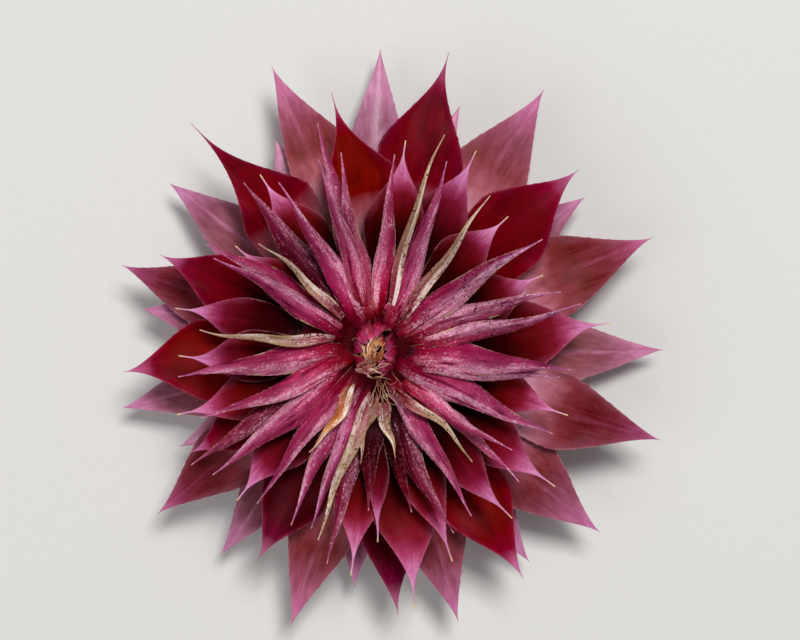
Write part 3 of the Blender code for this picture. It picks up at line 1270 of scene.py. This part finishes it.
@dataclass
class PackedBracts:
    """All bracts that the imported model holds, row by row."""

    frame: dict[str, Any]
    narrow_foot_radii: tuple[float, ...] = (3.7 * MM, 5.2 * MM, 4.4 * MM)
    narrow_foot_rises: tuple[float, ...] = (1.2 * MM, -0.4 * MM, 0.4 * MM)
    kinds: dict[str, tuple[Habit, BractFinish]] = field(
        default_factory=lambda: {
            "guard_bract": (GUARD_HABIT, GUARD),
            "broad_bract": (BROAD_HABIT, BROAD),
            "dark_bract": (DARK_HABIT, DARK),
            "spiny_bract": (SPINY_HABIT, SPINY),
            "narrow_bract": (NARROW_HABIT, NARROW),
        }
    )

    def midline(self, name: str) -> Midline:
        """Reads one packed bract's midline."""
        vertices = self.frame["nodes"][name].data.vertices
        return Midline.of_solid(np.array([v.co for v in vertices], dtype=float))

    def build(self, skins: Skins) -> None:
        """Grows every packed bract in its fine shape.

        Args:
            skins: the materials made so far.
        """
        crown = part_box("heart_and_stem")[1].z
        names = sorted(n for n in self.frame["nodes"] if n.rsplit("_", 1)[0] in self.kinds)
        for seed, name in enumerate(names, start=1):
            habit, finish = self.kinds[name.rsplit("_", 1)[0]]
            own = CHARACTERS.get(name, PLAIN)
            line = self.midline(name)
            if habit is NARROW_HABIT:
                tier = seed % len(self.narrow_foot_radii)
                line = line.drawn_in(self.narrow_foot_radii[tier], crown + self.narrow_foot_rises[tier])
                habit = PLUMP_HABIT if tier == 0 else habit
            habit, finish = own.habit or habit, own.finish or finish
            blade = Blade(f"{name}_blade", line, habit, finish, seed, own.twist, own.skew, own.bend)
            blade.build(skins, name)
            log.info("%s stands for %s", blade.name, name)


@dataclass(frozen=True)
class Loose:
    """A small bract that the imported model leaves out, grown beside one that it holds.

    Angles are in degrees round the axis, and lengths in millimetres.
    """

    name: str
    tip_angle: float
    lean: float
    foot_radius: float
    reach: float
    half_width: float
    host: str
    lift: float
    habit: Habit
    finish: BractFinish
    FOOT_RISE: ClassVar[float] = 0.4 * MM
    GROWN_OUT_BY: ClassVar[float] = 0.3

    def midline(self, host: Midline, crown_height: float) -> Midline:
        """Runs the bract out over its host's flare.

        Args:
            host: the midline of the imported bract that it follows.
            crown_height: the height of the heart's crown, which the highest bracts grow from.

        Returns:
            Its midline.
        """
        ends = ((self.foot_radius, self.tip_angle + self.lean), (self.reach, self.tip_angle))
        foot, tip = (
            radius * MM * np.array([math.cos(math.radians(angle)), math.sin(math.radians(angle))])
            for radius, angle in ends
        )
        shares = np.linspace(0.0, 1.0, 12)
        plan = foot + np.outer(shares, tip - foot)
        flare = host.radial(np.hypot(plan[:, 0], plan[:, 1])) + self.lift * MM
        start = min(float(flare[0]), crown_height + self.FOOT_RISE)
        grown = np.clip(shares / self.GROWN_OUT_BY, 0.0, 1.0)
        grown = grown * grown * (3.0 - 2.0 * grown)
        return Midline(foot, tip, shares, start + (flare - start) * grown, self.half_width * MM)


LOOSE_BRACTS = (
    Loose("pale_sliver_1", 70.8, 0, 14, 43.5, 4.2, "guard_bract_03", 1.2, GUARD_HABIT, PALE_LIT),
    Loose("pale_sliver_2", 115.4, 0, 14, 39.0, 5.0, "guard_bract_03", 1.0, GUARD_HABIT, PALE_LIT),
    Loose("pale_sliver_3", 206.4, 0, 14, 36.5, 4.0, "guard_bract_06", 1.2, GUARD_HABIT, PALE_LIT),
    Loose("small_cup_1", 143.0, 0, 13, 28.5, 3.2, "spiny_bract_05", 0.0, SPINY_HABIT, SPINY),
    Loose("small_cup_2", 271.0, 0, 13, 31.3, 1.7, "spiny_bract_10", 1.4, SPINY_HABIT, SPINY),
    Loose("small_cup_3", 290.3, 4, 13, 36.8, 3.6, "spiny_bract_11", 0.0, SPINY_HABIT, SPINY),
    Loose("small_cup_4", 309.4, -1, 13, 35.5, 3.6, "spiny_bract_11", 1.6, SPINY_HABIT, SPINY),
    Loose("low_narrow_1", 104.0, 1, 10, 38.1, 2.2, "narrow_bract_05", -1.5, NARROW_HABIT, NARROW),
    Loose("low_narrow_2", 127.8, 1, 10, 34.6, 2.9, "narrow_bract_05", -1.5, NARROW_HABIT, PLUM),
    Loose("low_narrow_3", 147.8, -4, 10, 32.3, 2.3, "narrow_bract_07", -1.5, NARROW_HABIT, NARROW),
    Loose("low_narrow_4", 212.0, 0, 10, 35.1, 2.5, "narrow_bract_07", -1.5, NARROW_HABIT, PLUM),
    Loose("low_narrow_5", 257.5, 6, 10, 35.5, 2.2, "narrow_bract_12", -1.5, NARROW_HABIT, PLUM),
    Loose("low_narrow_6", 293.6, -5, 10, 32.3, 2.2, "narrow_bract_14", -2.6, NARROW_HABIT, PLUM),
    Loose("low_narrow_7", 317.8, -2, 10, 31.8, 1.5, "narrow_bract_15", -0.8, NARROW_HABIT, NARROW),
    Loose("top_narrow_1", 12.8, -6, 6.6, 34.3, 1.9, "narrow_bract_01", 1.5, NARROW_HABIT, SPECKED),
    Loose("top_narrow_2", 106.3, -2, 6.6, 32.3, 1.9, "narrow_bract_05", 2.4, NARROW_HABIT, NARROW),
    Loose("top_narrow_3", 324.3, -14, 6.6, 27.5, 1.7, "narrow_bract_14", 1.4, NARROW_HABIT, NARROW),
    Loose("top_narrow_4", 351.9, -13, 6.8, 30.4, 2.0, "narrow_bract_15", 2.0, NARROW_HABIT, SPECKED),
    Loose("dried_bract_1", 53.2, -6, 6.8, 31.3, 1.4, "narrow_bract_02", 0.9, LEAN_HABIT, DRY),
    Loose("dried_bract_2", 71.9, -4, 6.4, 36.8, 1.2, "narrow_bract_03", 2.4, LEAN_HABIT, DRY),
    Loose("dried_bract_3", 137.2, -3, 7.0, 25.6, 1.2, "narrow_bract_07", 2.2, LEAN_HABIT, DRY),
    Loose("dried_bract_4", 173.1, -10, 6.8, 28.4, 1.3, "narrow_bract_08", 1.5, LEAN_HABIT, DRY),
    Loose("dried_bract_5", 237.3, 0, 6.4, 19.7, 1.4, "narrow_bract_11", 1.3, LEAN_HABIT, GOLDEN),
    Loose("dried_bract_6", 253.5, 12, 7.0, 31.8, 1.5, "narrow_bract_13", 1.1, LEAN_HABIT, DRY),
    Loose("dried_bract_8", 263.0, 8, 6.8, 18.6, 1.5, "narrow_bract_13", -0.6, LEAN_HABIT, DRY),
    Loose("dried_bract_9", 281.0, -6, 7.4, 18.0, 1.6, "narrow_bract_14", -1.0, LEAN_HABIT, DRY),
    # The hollow bracts sink low between their neighbours, and their near-black finish is painted shade.
    Loose("hollow_bract_1", 268.0, 3, 8.6, 26.0, 2.6, "narrow_bract_13", -3.4, PLUMP_HABIT, HOLLOW_SHADE),
    Loose("hollow_bract_2", 283.0, -3, 8.6, 27.0, 2.4, "narrow_bract_14", -3.6, PLUMP_HABIT, HOLLOW_SHADE),
    Loose("dried_bract_7", 311.5, -16, 7.0, 24.0, 1.1, "narrow_bract_14", 2.4, LEAN_HABIT, DRY),
)


SCALE_HABIT = replace(PLUMP_HABIT, foot_share=0.7, widest_at=0.3, sway=0.3 * MM, rows=44, columns=15)
SCALE_ANGLES = (30, 52, 74, 95, 115, 136, 155, 172, 190, 208, 232, 300, 322, 345)
SCALE_FOOT_RADIUS = 3.0
SCALE_HOST = "narrow_bract_03"
SCALE_SEED = 77


def bud_scales() -> tuple[Loose, ...]:
    """Draws the short scales that lie between the closed bud and the feet of the narrow bracts.

    Returns:
        The scales.
    """
    chance = np.random.default_rng(SCALE_SEED)
    scales = []
    for number, angle in enumerate(SCALE_ANGLES, start=1):
        reach, half_width = chance.uniform(7.0, 10.0), chance.uniform(1.5, 2.1)
        lean, lift = chance.uniform(-12.0, 12.0), chance.uniform(2.2, 3.3)
        size = (SCALE_FOOT_RADIUS, reach, half_width)
        name = f"bud_scale_{number:02d}"
        scales.append(Loose(name, angle, lean, *size, SCALE_HOST, lift, SCALE_HABIT, CRIMSON))
    return tuple(scales)


@dataclass
class LooseBracts:
    """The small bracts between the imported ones."""

    packed: PackedBracts
    first_seed: int = 101

    def build(self, skins: Skins) -> None:
        """Grows every small bract.

        Args:
            skins: the materials made so far.
        """
        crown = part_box("heart_and_stem")[1].z
        for seed, loose in enumerate(LOOSE_BRACTS + bud_scales(), start=self.first_seed):
            line = loose.midline(self.packed.midline(loose.host), crown)
            Blade(loose.name, line, loose.habit, loose.finish, seed).build(skins)
            log.info("%s grows beside %s", loose.name, loose.host)


@dataclass(frozen=True)
class BudLeaf:
    """One leaf of the closed bud, wrapped round an ellipsoid."""

    angle: float
    layer: float
    half_width: float
    tip_polar: float
    flick: float


@dataclass
class ClosedBud:
    """The closed innermost bracts: a tight middle and a few looser leaves that wrap it."""

    tight_leaves: int = 7
    lean: tuple[float, float] = (-0.3 * MM, -0.7 * MM)
    stretch: tuple[float, float] = (0.82, 1.05)
    wrap_angles: tuple[float, ...] = (15.0, 62.0, 100.0, 138.0, 176.0, 208.0, 298.0, 338.0)
    thickness: float = 0.35 * MM
    rows: int = 34
    columns: int = 15
    leaf_seed: int = 31
    fold_seed: int = 900
    grain_offset: float = 60.0

    def __post_init__(self) -> None:
        """Takes the bud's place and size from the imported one."""
        low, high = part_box("inner_bud")
        self.centre = np.array([(low.x + high.x) / 2, (low.y + high.y) / 2, low.z])
        self.radius = (high.x - low.x) / 2
        self.height = high.z - low.z

    def _leaves(self) -> list[BudLeaf]:
        """Draws the wrapping leaves and the tight ones.

        Returns:
            Every leaf, the outermost first.
        """
        chance = np.random.default_rng(self.leaf_seed)
        leaves = []
        for angle in self.wrap_angles:
            tip = chance.uniform(18.0, 32.0)
            layer, half_width = chance.uniform(0.80, 0.94), chance.uniform(1.7, 2.3) * MM
            leaves.append(BudLeaf(angle, layer, half_width, tip, 0.1 * MM))
        for number in range(self.tight_leaves):
            rank = number / (self.tight_leaves - 1)
            tip = 34.0 - 28.0 * rank
            flick = chance.uniform(0.0, 0.2) * MM
            angle, layer = 150.0 + number * GOLDEN_ANGLE, 0.70 - 0.18 * rank
            leaves.append(BudLeaf(angle, layer, 2.3 * MM, tip, flick))
        return leaves

    def _points(self, leaf: BudLeaf, seed: int) -> tuple[np.ndarray, np.ndarray, np.ndarray]:
        """Shapes one leaf.

        Args:
            leaf: the leaf.
            seed: what its small folds are drawn from.

        Returns:
            Its points and their two attributes, upper side first.
        """
        chance = np.random.default_rng(self.fold_seed + seed)
        share = np.linspace(0.0, 1.0, self.rows)[:, None]
        side = np.linspace(-1.0, 1.0, self.columns)[None, :]
        share, side = np.broadcast_arrays(share, side)
        polar = math.pi / 2 + (math.radians(leaf.tip_polar) - math.pi / 2) * share
        width = leaf.half_width * (1.0 - share**1.5) ** 0.9 + 0.1 * MM
        hoop = np.maximum(self.radius * leaf.layer * np.sin(polar), 0.7 * MM)
        around = math.radians(leaf.angle + chance.uniform(-8, 8)) + side * width / hoop
        around = around + 0.25 * np.sin(3.0 * share + chance.uniform(0, 6)) * share
        fold = 0.14 * MM * np.sin(side * 9.0 + 3.0 * share + chance.uniform(0, 6)) + 0.25 * MM * side**2
        flick = leaf.flick * np.clip((share - 0.7) / 0.3, 0.0, 1.0) ** 2
        surfaces = []
        for inset in (0.0, self.thickness):
            grow = leaf.layer - (inset - fold) / self.radius
            across = self.radius * np.sin(polar) * grow + flick
            up = self.height * (0.55 + 0.45 * leaf.layer) * np.cos(polar) - inset * np.cos(polar)
            tight = float(leaf.layer < 0.75) * np.clip(share * 1.5, 0.0, 1.0)
            shift = np.dstack([tight * self.lean[0], tight * self.lean[1], np.zeros_like(tight)])
            x, y = across * np.cos(around) * self.stretch[0], across * np.sin(around) * self.stretch[1]
            surfaces.append(np.dstack([x, y, up]) + shift + self.centre)
        blade = np.stack([share, side, np.ones_like(share)], axis=2)
        apart = np.full_like(share, self.grain_offset + seed)
        grain = np.stack([share * self.height * 1.4 / MM, side * width / MM, apart], axis=2)
        points = np.concatenate([surface.reshape(-1, 3) for surface in surfaces])
        return points, np.tile(blade.reshape(-1, 3), (2, 1)), np.tile(grain.reshape(-1, 3), (2, 1))

    def _joined(self, name: str, leaves: dict[int, BudLeaf], finish: BractFinish, skins: Skins) -> None:
        """Makes one object of several leaves.

        Args:
            name: its name.
            leaves: the leaves, by seed.
            finish: their finish.
            skins: the materials made so far.
        """
        points, blades, grains = zip(*(self._points(leaf, seed) for seed, leaf in leaves.items()))
        block = closed_grid(self.rows, self.columns)
        size = 2 * self.rows * self.columns
        faces = [
            tuple(corner + first * size for corner in reversed(face))
            for first in range(len(leaves))
            for face in block
        ]
        attributes = {"blade": np.concatenate(blades), "grain": np.concatenate(grains)}
        bud = sheet_object(name, np.concatenate(points), faces, attributes)
        bud.data.materials.append(skins.of(finish))
        fix_to_head(bud, finish.slot, "inner_bud")
        log.info("%s has %d leaves", name, len(leaves))

    def build(self, skins: Skins) -> None:
        """Makes the golden middle and the crimson leaves round it.

        Args:
            skins: the materials made so far.
        """
        leaves = list(enumerate(self._leaves()))
        wraps = len(self.wrap_angles)
        self._joined("bud_wrap", dict(leaves[:wraps]), CRIMSON, skins)
        self._joined("closed_bud", dict(leaves[wraps:]), BUD, skins)


@dataclass(frozen=True)
class Strands:
    """A group of dried threads or scraps that lie alike.

    Angles are in degrees, and lengths in millimetres.
    """

    name: str
    count: int
    start: tuple[float, float]
    spread: float
    heading: float
    scatter: float
    length: float
    curl: float
    radius: float


STRANDS = (
    Strands("gold", 16, (-0.3, -1.2), 1.0, 76.0, 14.0, 3.6, 0.02, 0.045),
    Strands("pale", 6, (-0.4, -3.2), 1.5, 10.0, 24.0, 2.8, 0.05, 0.055),
    Strands("loose", 4, (1.0, -5.4), 1.8, 260.0, 60.0, 5.0, 0.16, 0.05),
    Strands("brown", 9, (0.8, -5.6), 1.4, 275.0, 20.0, 5.0, 0.04, 0.055),
)


@dataclass
class DriedTuft:
    """Dried scraps and threads on the bud and in the gap beside it."""

    fan: Strands = Strands("fan", 8, (-0.4, -1.8), 1.1, 84.0, 16.0, 3.2, 0.0, 0.34)
    across: Strands = Strands("across", 9, (-1.8, -3.2), 1.3, 2.0, 18.0, 2.6, 0.0, 0.24)
    steps: int = 16
    clearance: float = 0.7 * MM
    sink: float = 0.9 * MM
    draw_seed: int = 400
    blade_seed: int = 500
    thread_seed: int = 700
    seeds_per_group: int = 40

    def __post_init__(self) -> None:
        """Takes the bud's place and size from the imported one."""
        low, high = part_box("inner_bud")
        self.radius, self.base, self.top = (high.x - low.x) / 2, low.z, high.z

    def _rest_height(self, x: float, y: float) -> float:
        """Finds how high something lies on the bud, or on the bracts' feet beyond it.

        Args:
            x: its distance from the axis along X.
            y: its distance from the axis along Y.

        Returns:
            Its height.
        """
        inside = max(1.0 - (math.hypot(x, y) / (self.radius * 1.05)) ** 2, 0.0)
        return self.base + self.clearance + (self.top - self.base - self.sink) * math.sqrt(inside)

    def build(self, skins: Skins) -> None:
        """Lays the scraps and the threads.

        Args:
            skins: the materials made so far.
        """
        self._lay_scraps(skins)
        finish = FibreFinish()
        for group, strands in enumerate(STRANDS):
            for number in range(strands.count):
                seed = self.thread_seed + self.seeds_per_group * group + number
                points = self._thread_points(strands, np.random.default_rng(seed))
                thread = thread_object(f"{strands.name}_thread_{number + 1:02d}", points, strands.radius * MM)
                thread.data.materials.append(skins.of(finish))
                fix_to_head(thread, finish.slot)
            log.info("%d %s threads", strands.count, strands.name)

    def _lay_scraps(self, skins: Skins) -> None:
        """Makes the scraps: a golden fan in the bud's middle and pale ones lying across its lower half.

        Args:
            skins: the materials made so far.
        """
        groups = [(self.fan, GOLDEN)] * self.fan.count + [(self.across, BLUSH)] * self.across.count
        for number, (group, finish) in enumerate(groups):
            chance = np.random.default_rng(self.draw_seed + number)
            spread = np.array([group.spread, 0.4 * group.spread]) * MM
            foot = np.array(group.start) * MM + chance.uniform(-1.0, 1.0, 2) * spread
            heading = math.radians(chance.normal(group.heading, group.scatter))
            length = chance.uniform(0.6, 1.2) * group.length * MM
            tip = foot + length * np.array([math.cos(heading), math.sin(heading)])
            shares = np.linspace(0.0, 1.0, 9)
            plan = foot + np.outer(shares, tip - foot)
            rest = np.array([self._rest_height(x, y) for x, y in plan])
            arch = chance.uniform(0.1, 0.6) * MM * np.sin(math.pi * shares)
            half_width = chance.uniform(0.7, 1.4) * group.radius * MM
            line = Midline(foot, tip, shares, rest + arch, half_width)
            name, seed = f"scrap_{number + 1:02d}", self.blade_seed + number
            Blade(name, line, SCRAP_HABIT, finish, seed).build(skins)
            log.info("%s lies on the bud", name)

    def _thread_points(self, strands: Strands, chance: np.random.Generator) -> list[Point]:
        """Lets one thread wander from its group's start.

        Args:
            strands: its group.
            chance: where its small turns are drawn from.

        Returns:
            The points along it.
        """
        x, y = (centre * MM + chance.normal(0.0, strands.spread * MM / 2) for centre in strands.start)
        heading = math.radians(strands.heading + chance.normal(0.0, strands.scatter))
        bend = chance.choice((-1.0, 1.0)) * strands.curl * chance.uniform(0.5, 1.5)
        step = strands.length * MM * chance.uniform(0.6, 1.2) / self.steps
        lift = chance.uniform(0.0, 0.5) * MM
        points = []
        for number in range(self.steps):
            hump = math.sin(math.pi * number / self.steps) * lift
            points.append((x, y, self._rest_height(x, y) + hump))
            x, y = x + step * math.cos(heading), y + step * math.sin(heading)
            heading += bend + chance.normal(0.0, 0.05)
        return points


def thread_object(name: str, points: Sequence[Point], radius: float) -> bpy.types.Object:
    """Makes a thread that tapers to both ends.

    Args:
        name: its name.
        points: the points that it runs through.
        radius: its radius in the middle. THREAD_END is the share of it that its ends keep.

    Returns:
        The new curve object.
    """
    curve = bpy.data.curves.new(name, "CURVE")
    curve.dimensions = "3D"
    curve.bevel_depth = radius
    curve.bevel_resolution = 2
    curve.use_fill_caps = True
    spline = curve.splines.new("POLY")
    spline.points.add(len(points) - 1)
    for index, (target, point) in enumerate(zip(spline.points, points)):
        target.co = (*point, 1.0)
        swell = math.sin(math.pi * (index + 0.5) / len(points))
        target.radius = THREAD_END + (1.0 - THREAD_END) * swell
    return linked(name, curve)


@dataclass
class HeartAndStem:
    """The fleshy heart with its cut stem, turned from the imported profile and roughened."""

    steps: int = 144
    rings: int = 110
    cut_rings: int = 26
    crown_rings: int = 14
    bevel: float = 0.5 * MM
    groove: float = 0.16 * MM

    def _profile(self) -> tuple[np.ndarray, np.ndarray]:
        """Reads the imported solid's side, from the crown's rim down to the cut's rim.

        Returns:
            Its radii and its heights.
        """
        vertices = bpy.data.objects["heart_and_stem"].data.vertices
        points = np.array([v.co for v in vertices], dtype=float)
        radius, height = np.hypot(points[:, 0], points[:, 1]), points[:, 2]
        levels = np.unique(np.round(height, 6))[::-1]
        widest = np.array([radius[np.abs(height - level) < 2e-6].max() for level in levels])
        return widest, levels

    def build(self) -> None:
        """Makes the heart with its stem."""
        radius, height = self._profile()
        run = np.concatenate([[0.0], np.cumsum(np.hypot(np.diff(radius), np.diff(height)))])
        fine = np.linspace(0.0, run[-1], self.rings)
        radius, height = np.interp(fine, run, radius), np.interp(fine, run, height)
        rounded = 1.0 - np.sqrt(np.clip(1 - (height / self.bevel - 1) ** 2, 0, 1))
        height = np.maximum(height, self.bevel * rounded)
        inward = np.linspace(1.0, 0.0, self.cut_rings)[1:]
        crown = np.linspace(0.0, 1.0, self.crown_rings)[:-1]
        radius = np.concatenate([crown * radius[0], radius, inward * (radius[-1] - self.bevel)])
        height = np.concatenate([np.full(crown.size, height[0]), height, np.zeros(inward.size)])
        angle = np.linspace(0.0, 2 * math.pi, self.steps, endpoint=False)
        radius, height, turn = np.broadcast_arrays(radius[:, None], height[:, None], angle[None, :])
        rough = self._roughened(radius, height, turn)
        points = np.dstack([rough * np.cos(turn), rough * np.sin(turn), height])
        faces = []
        for ring in range(len(points) - 1):
            for step in range(self.steps):
                a, b = ring * self.steps + step, ring * self.steps + (step + 1) % self.steps
                faces.append((a, a + self.steps, b + self.steps, b))
        heart = sheet_object("heart_flesh", points.reshape(-1, 3), faces)
        weld = heart.modifiers.new("Weld", "WELD")
        weld.merge_threshold = 0.01 * MM
        finish = HeartFinish()
        heart.data.materials.append(finish.material())
        fix_to_head(heart, finish.slot, "heart_and_stem")
        log.info("heart_flesh is %.1f mm wide", 2 * float(radius.max()) / MM)

    def _roughened(self, radius: np.ndarray, height: np.ndarray, turn: np.ndarray) -> np.ndarray:
        """Carves lines and leaf scars into the turned shape.

        Args:
            radius: the smooth radius at each point.
            height: the height there.
            turn: the angle round the axis there.

        Returns:
            The rough radii.
        """
        side = np.clip(height / (2 * MM), 0.0, 1.0) * np.clip(radius / (3 * MM), 0.0, 1.0)
        lines = np.sin(turn * 34 + np.sin(height * 700)) + 0.6 * np.sin(turn * 61 + 2.0)
        scars = np.sin(turn * 13 + height * 2100) * np.clip((height - 6 * MM) / (3 * MM), 0, 1)
        return np.maximum(radius + (lines * 0.4 + scars - 1.6) * self.groove * side, 0.0)


# The studio


@dataclass(frozen=True)
class Lamp:
    """A soft square lamp that faces the head."""

    name: str
    place: Point
    side: float
    watts: float

    def hang(self) -> None:
        """Makes the lamp."""
        light = bpy.data.lights.new(self.name, "AREA")
        light.size = self.side
        light.energy = self.watts
        lamp = linked(self.name, light)
        lamp.location = self.place
        lamp.rotation_euler = (-Vector(self.place)).to_track_quat("-Z", "Y").to_euler()


@dataclass
class Studio:
    """A pale floor, soft lamps and a camera that looks down the head's axis."""

    lamps: tuple[Lamp, ...] = (
        Lamp("key_lamp", (0.12, 0.25, 0.80), 0.20, 5.0),
        Lamp("fill_lamp", (-0.40, -0.25, 0.60), 0.50, 1.3),
    )
    sky: Colour = (1.0, 0.98, 0.96)
    sky_strength: float = 0.18
    floor_half: float = 1.5
    view_width: float = 133.8 * MM
    view_centre: tuple[float, float] = (4.2 * MM, 5.0 * MM)
    camera_height: float = 0.75
    focus_height: float = 12.0 * MM
    sensor: float = 36.0

    def build(self) -> None:
        """Makes the floor, the lamps, the surroundings and the camera."""
        self._floor()
        for lamp in self.lamps:
            lamp.hang()
        self._surroundings()
        self._camera()
        log.info("the studio has %d lamps", len(self.lamps))

    def _floor(self) -> None:
        """Makes a plain pale floor."""
        signs = np.array([(-1, -1, 0), (1, -1, 0), (1, 1, 0), (-1, 1, 0)], dtype=float)
        floor = sheet_object("floor", signs * self.floor_half, [(0, 1, 2, 3)])
        floor.data.materials.append(FloorFinish().material())
        floor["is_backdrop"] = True

    def _surroundings(self) -> None:
        """Lights the head softly from all around."""
        world = bpy.data.worlds.new("soft_surroundings")
        world.use_nodes = True
        sky = world.node_tree.nodes["Background"]
        sky.inputs["Color"].default_value = (*self.sky, 1.0)
        sky.inputs["Strength"].default_value = self.sky_strength
        bpy.context.scene.world = world

    def _camera(self) -> None:
        """Makes the camera straight above the head."""
        lens = bpy.data.cameras.new("camera")
        lens.sensor_width = self.sensor
        lens.lens = self.sensor * (self.camera_height - self.focus_height) / self.view_width
        camera = linked("camera", lens)
        camera.location = (*self.view_centre, self.camera_height)
        bpy.context.scene.camera = camera
        bpy.context.scene.view_settings.view_transform = "Standard"


def main(frame: dict[str, Any], packed_box: tuple[Vector, Vector]) -> None:
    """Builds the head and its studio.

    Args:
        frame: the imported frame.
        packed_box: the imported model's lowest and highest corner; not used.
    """
    skins = Skins()
    packed_bracts = PackedBracts(frame)
    packed_bracts.build(skins)
    LooseBracts(packed_bracts).build(skins)
    ClosedBud().build(skins)
    DriedTuft().build(skins)
    HeartAndStem().build()
    Studio().build()


if __name__ == "__main__":
    logging.basicConfig(level=logging.INFO, format="%(name)s: %(message)s")
    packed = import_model()
    main(packed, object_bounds())
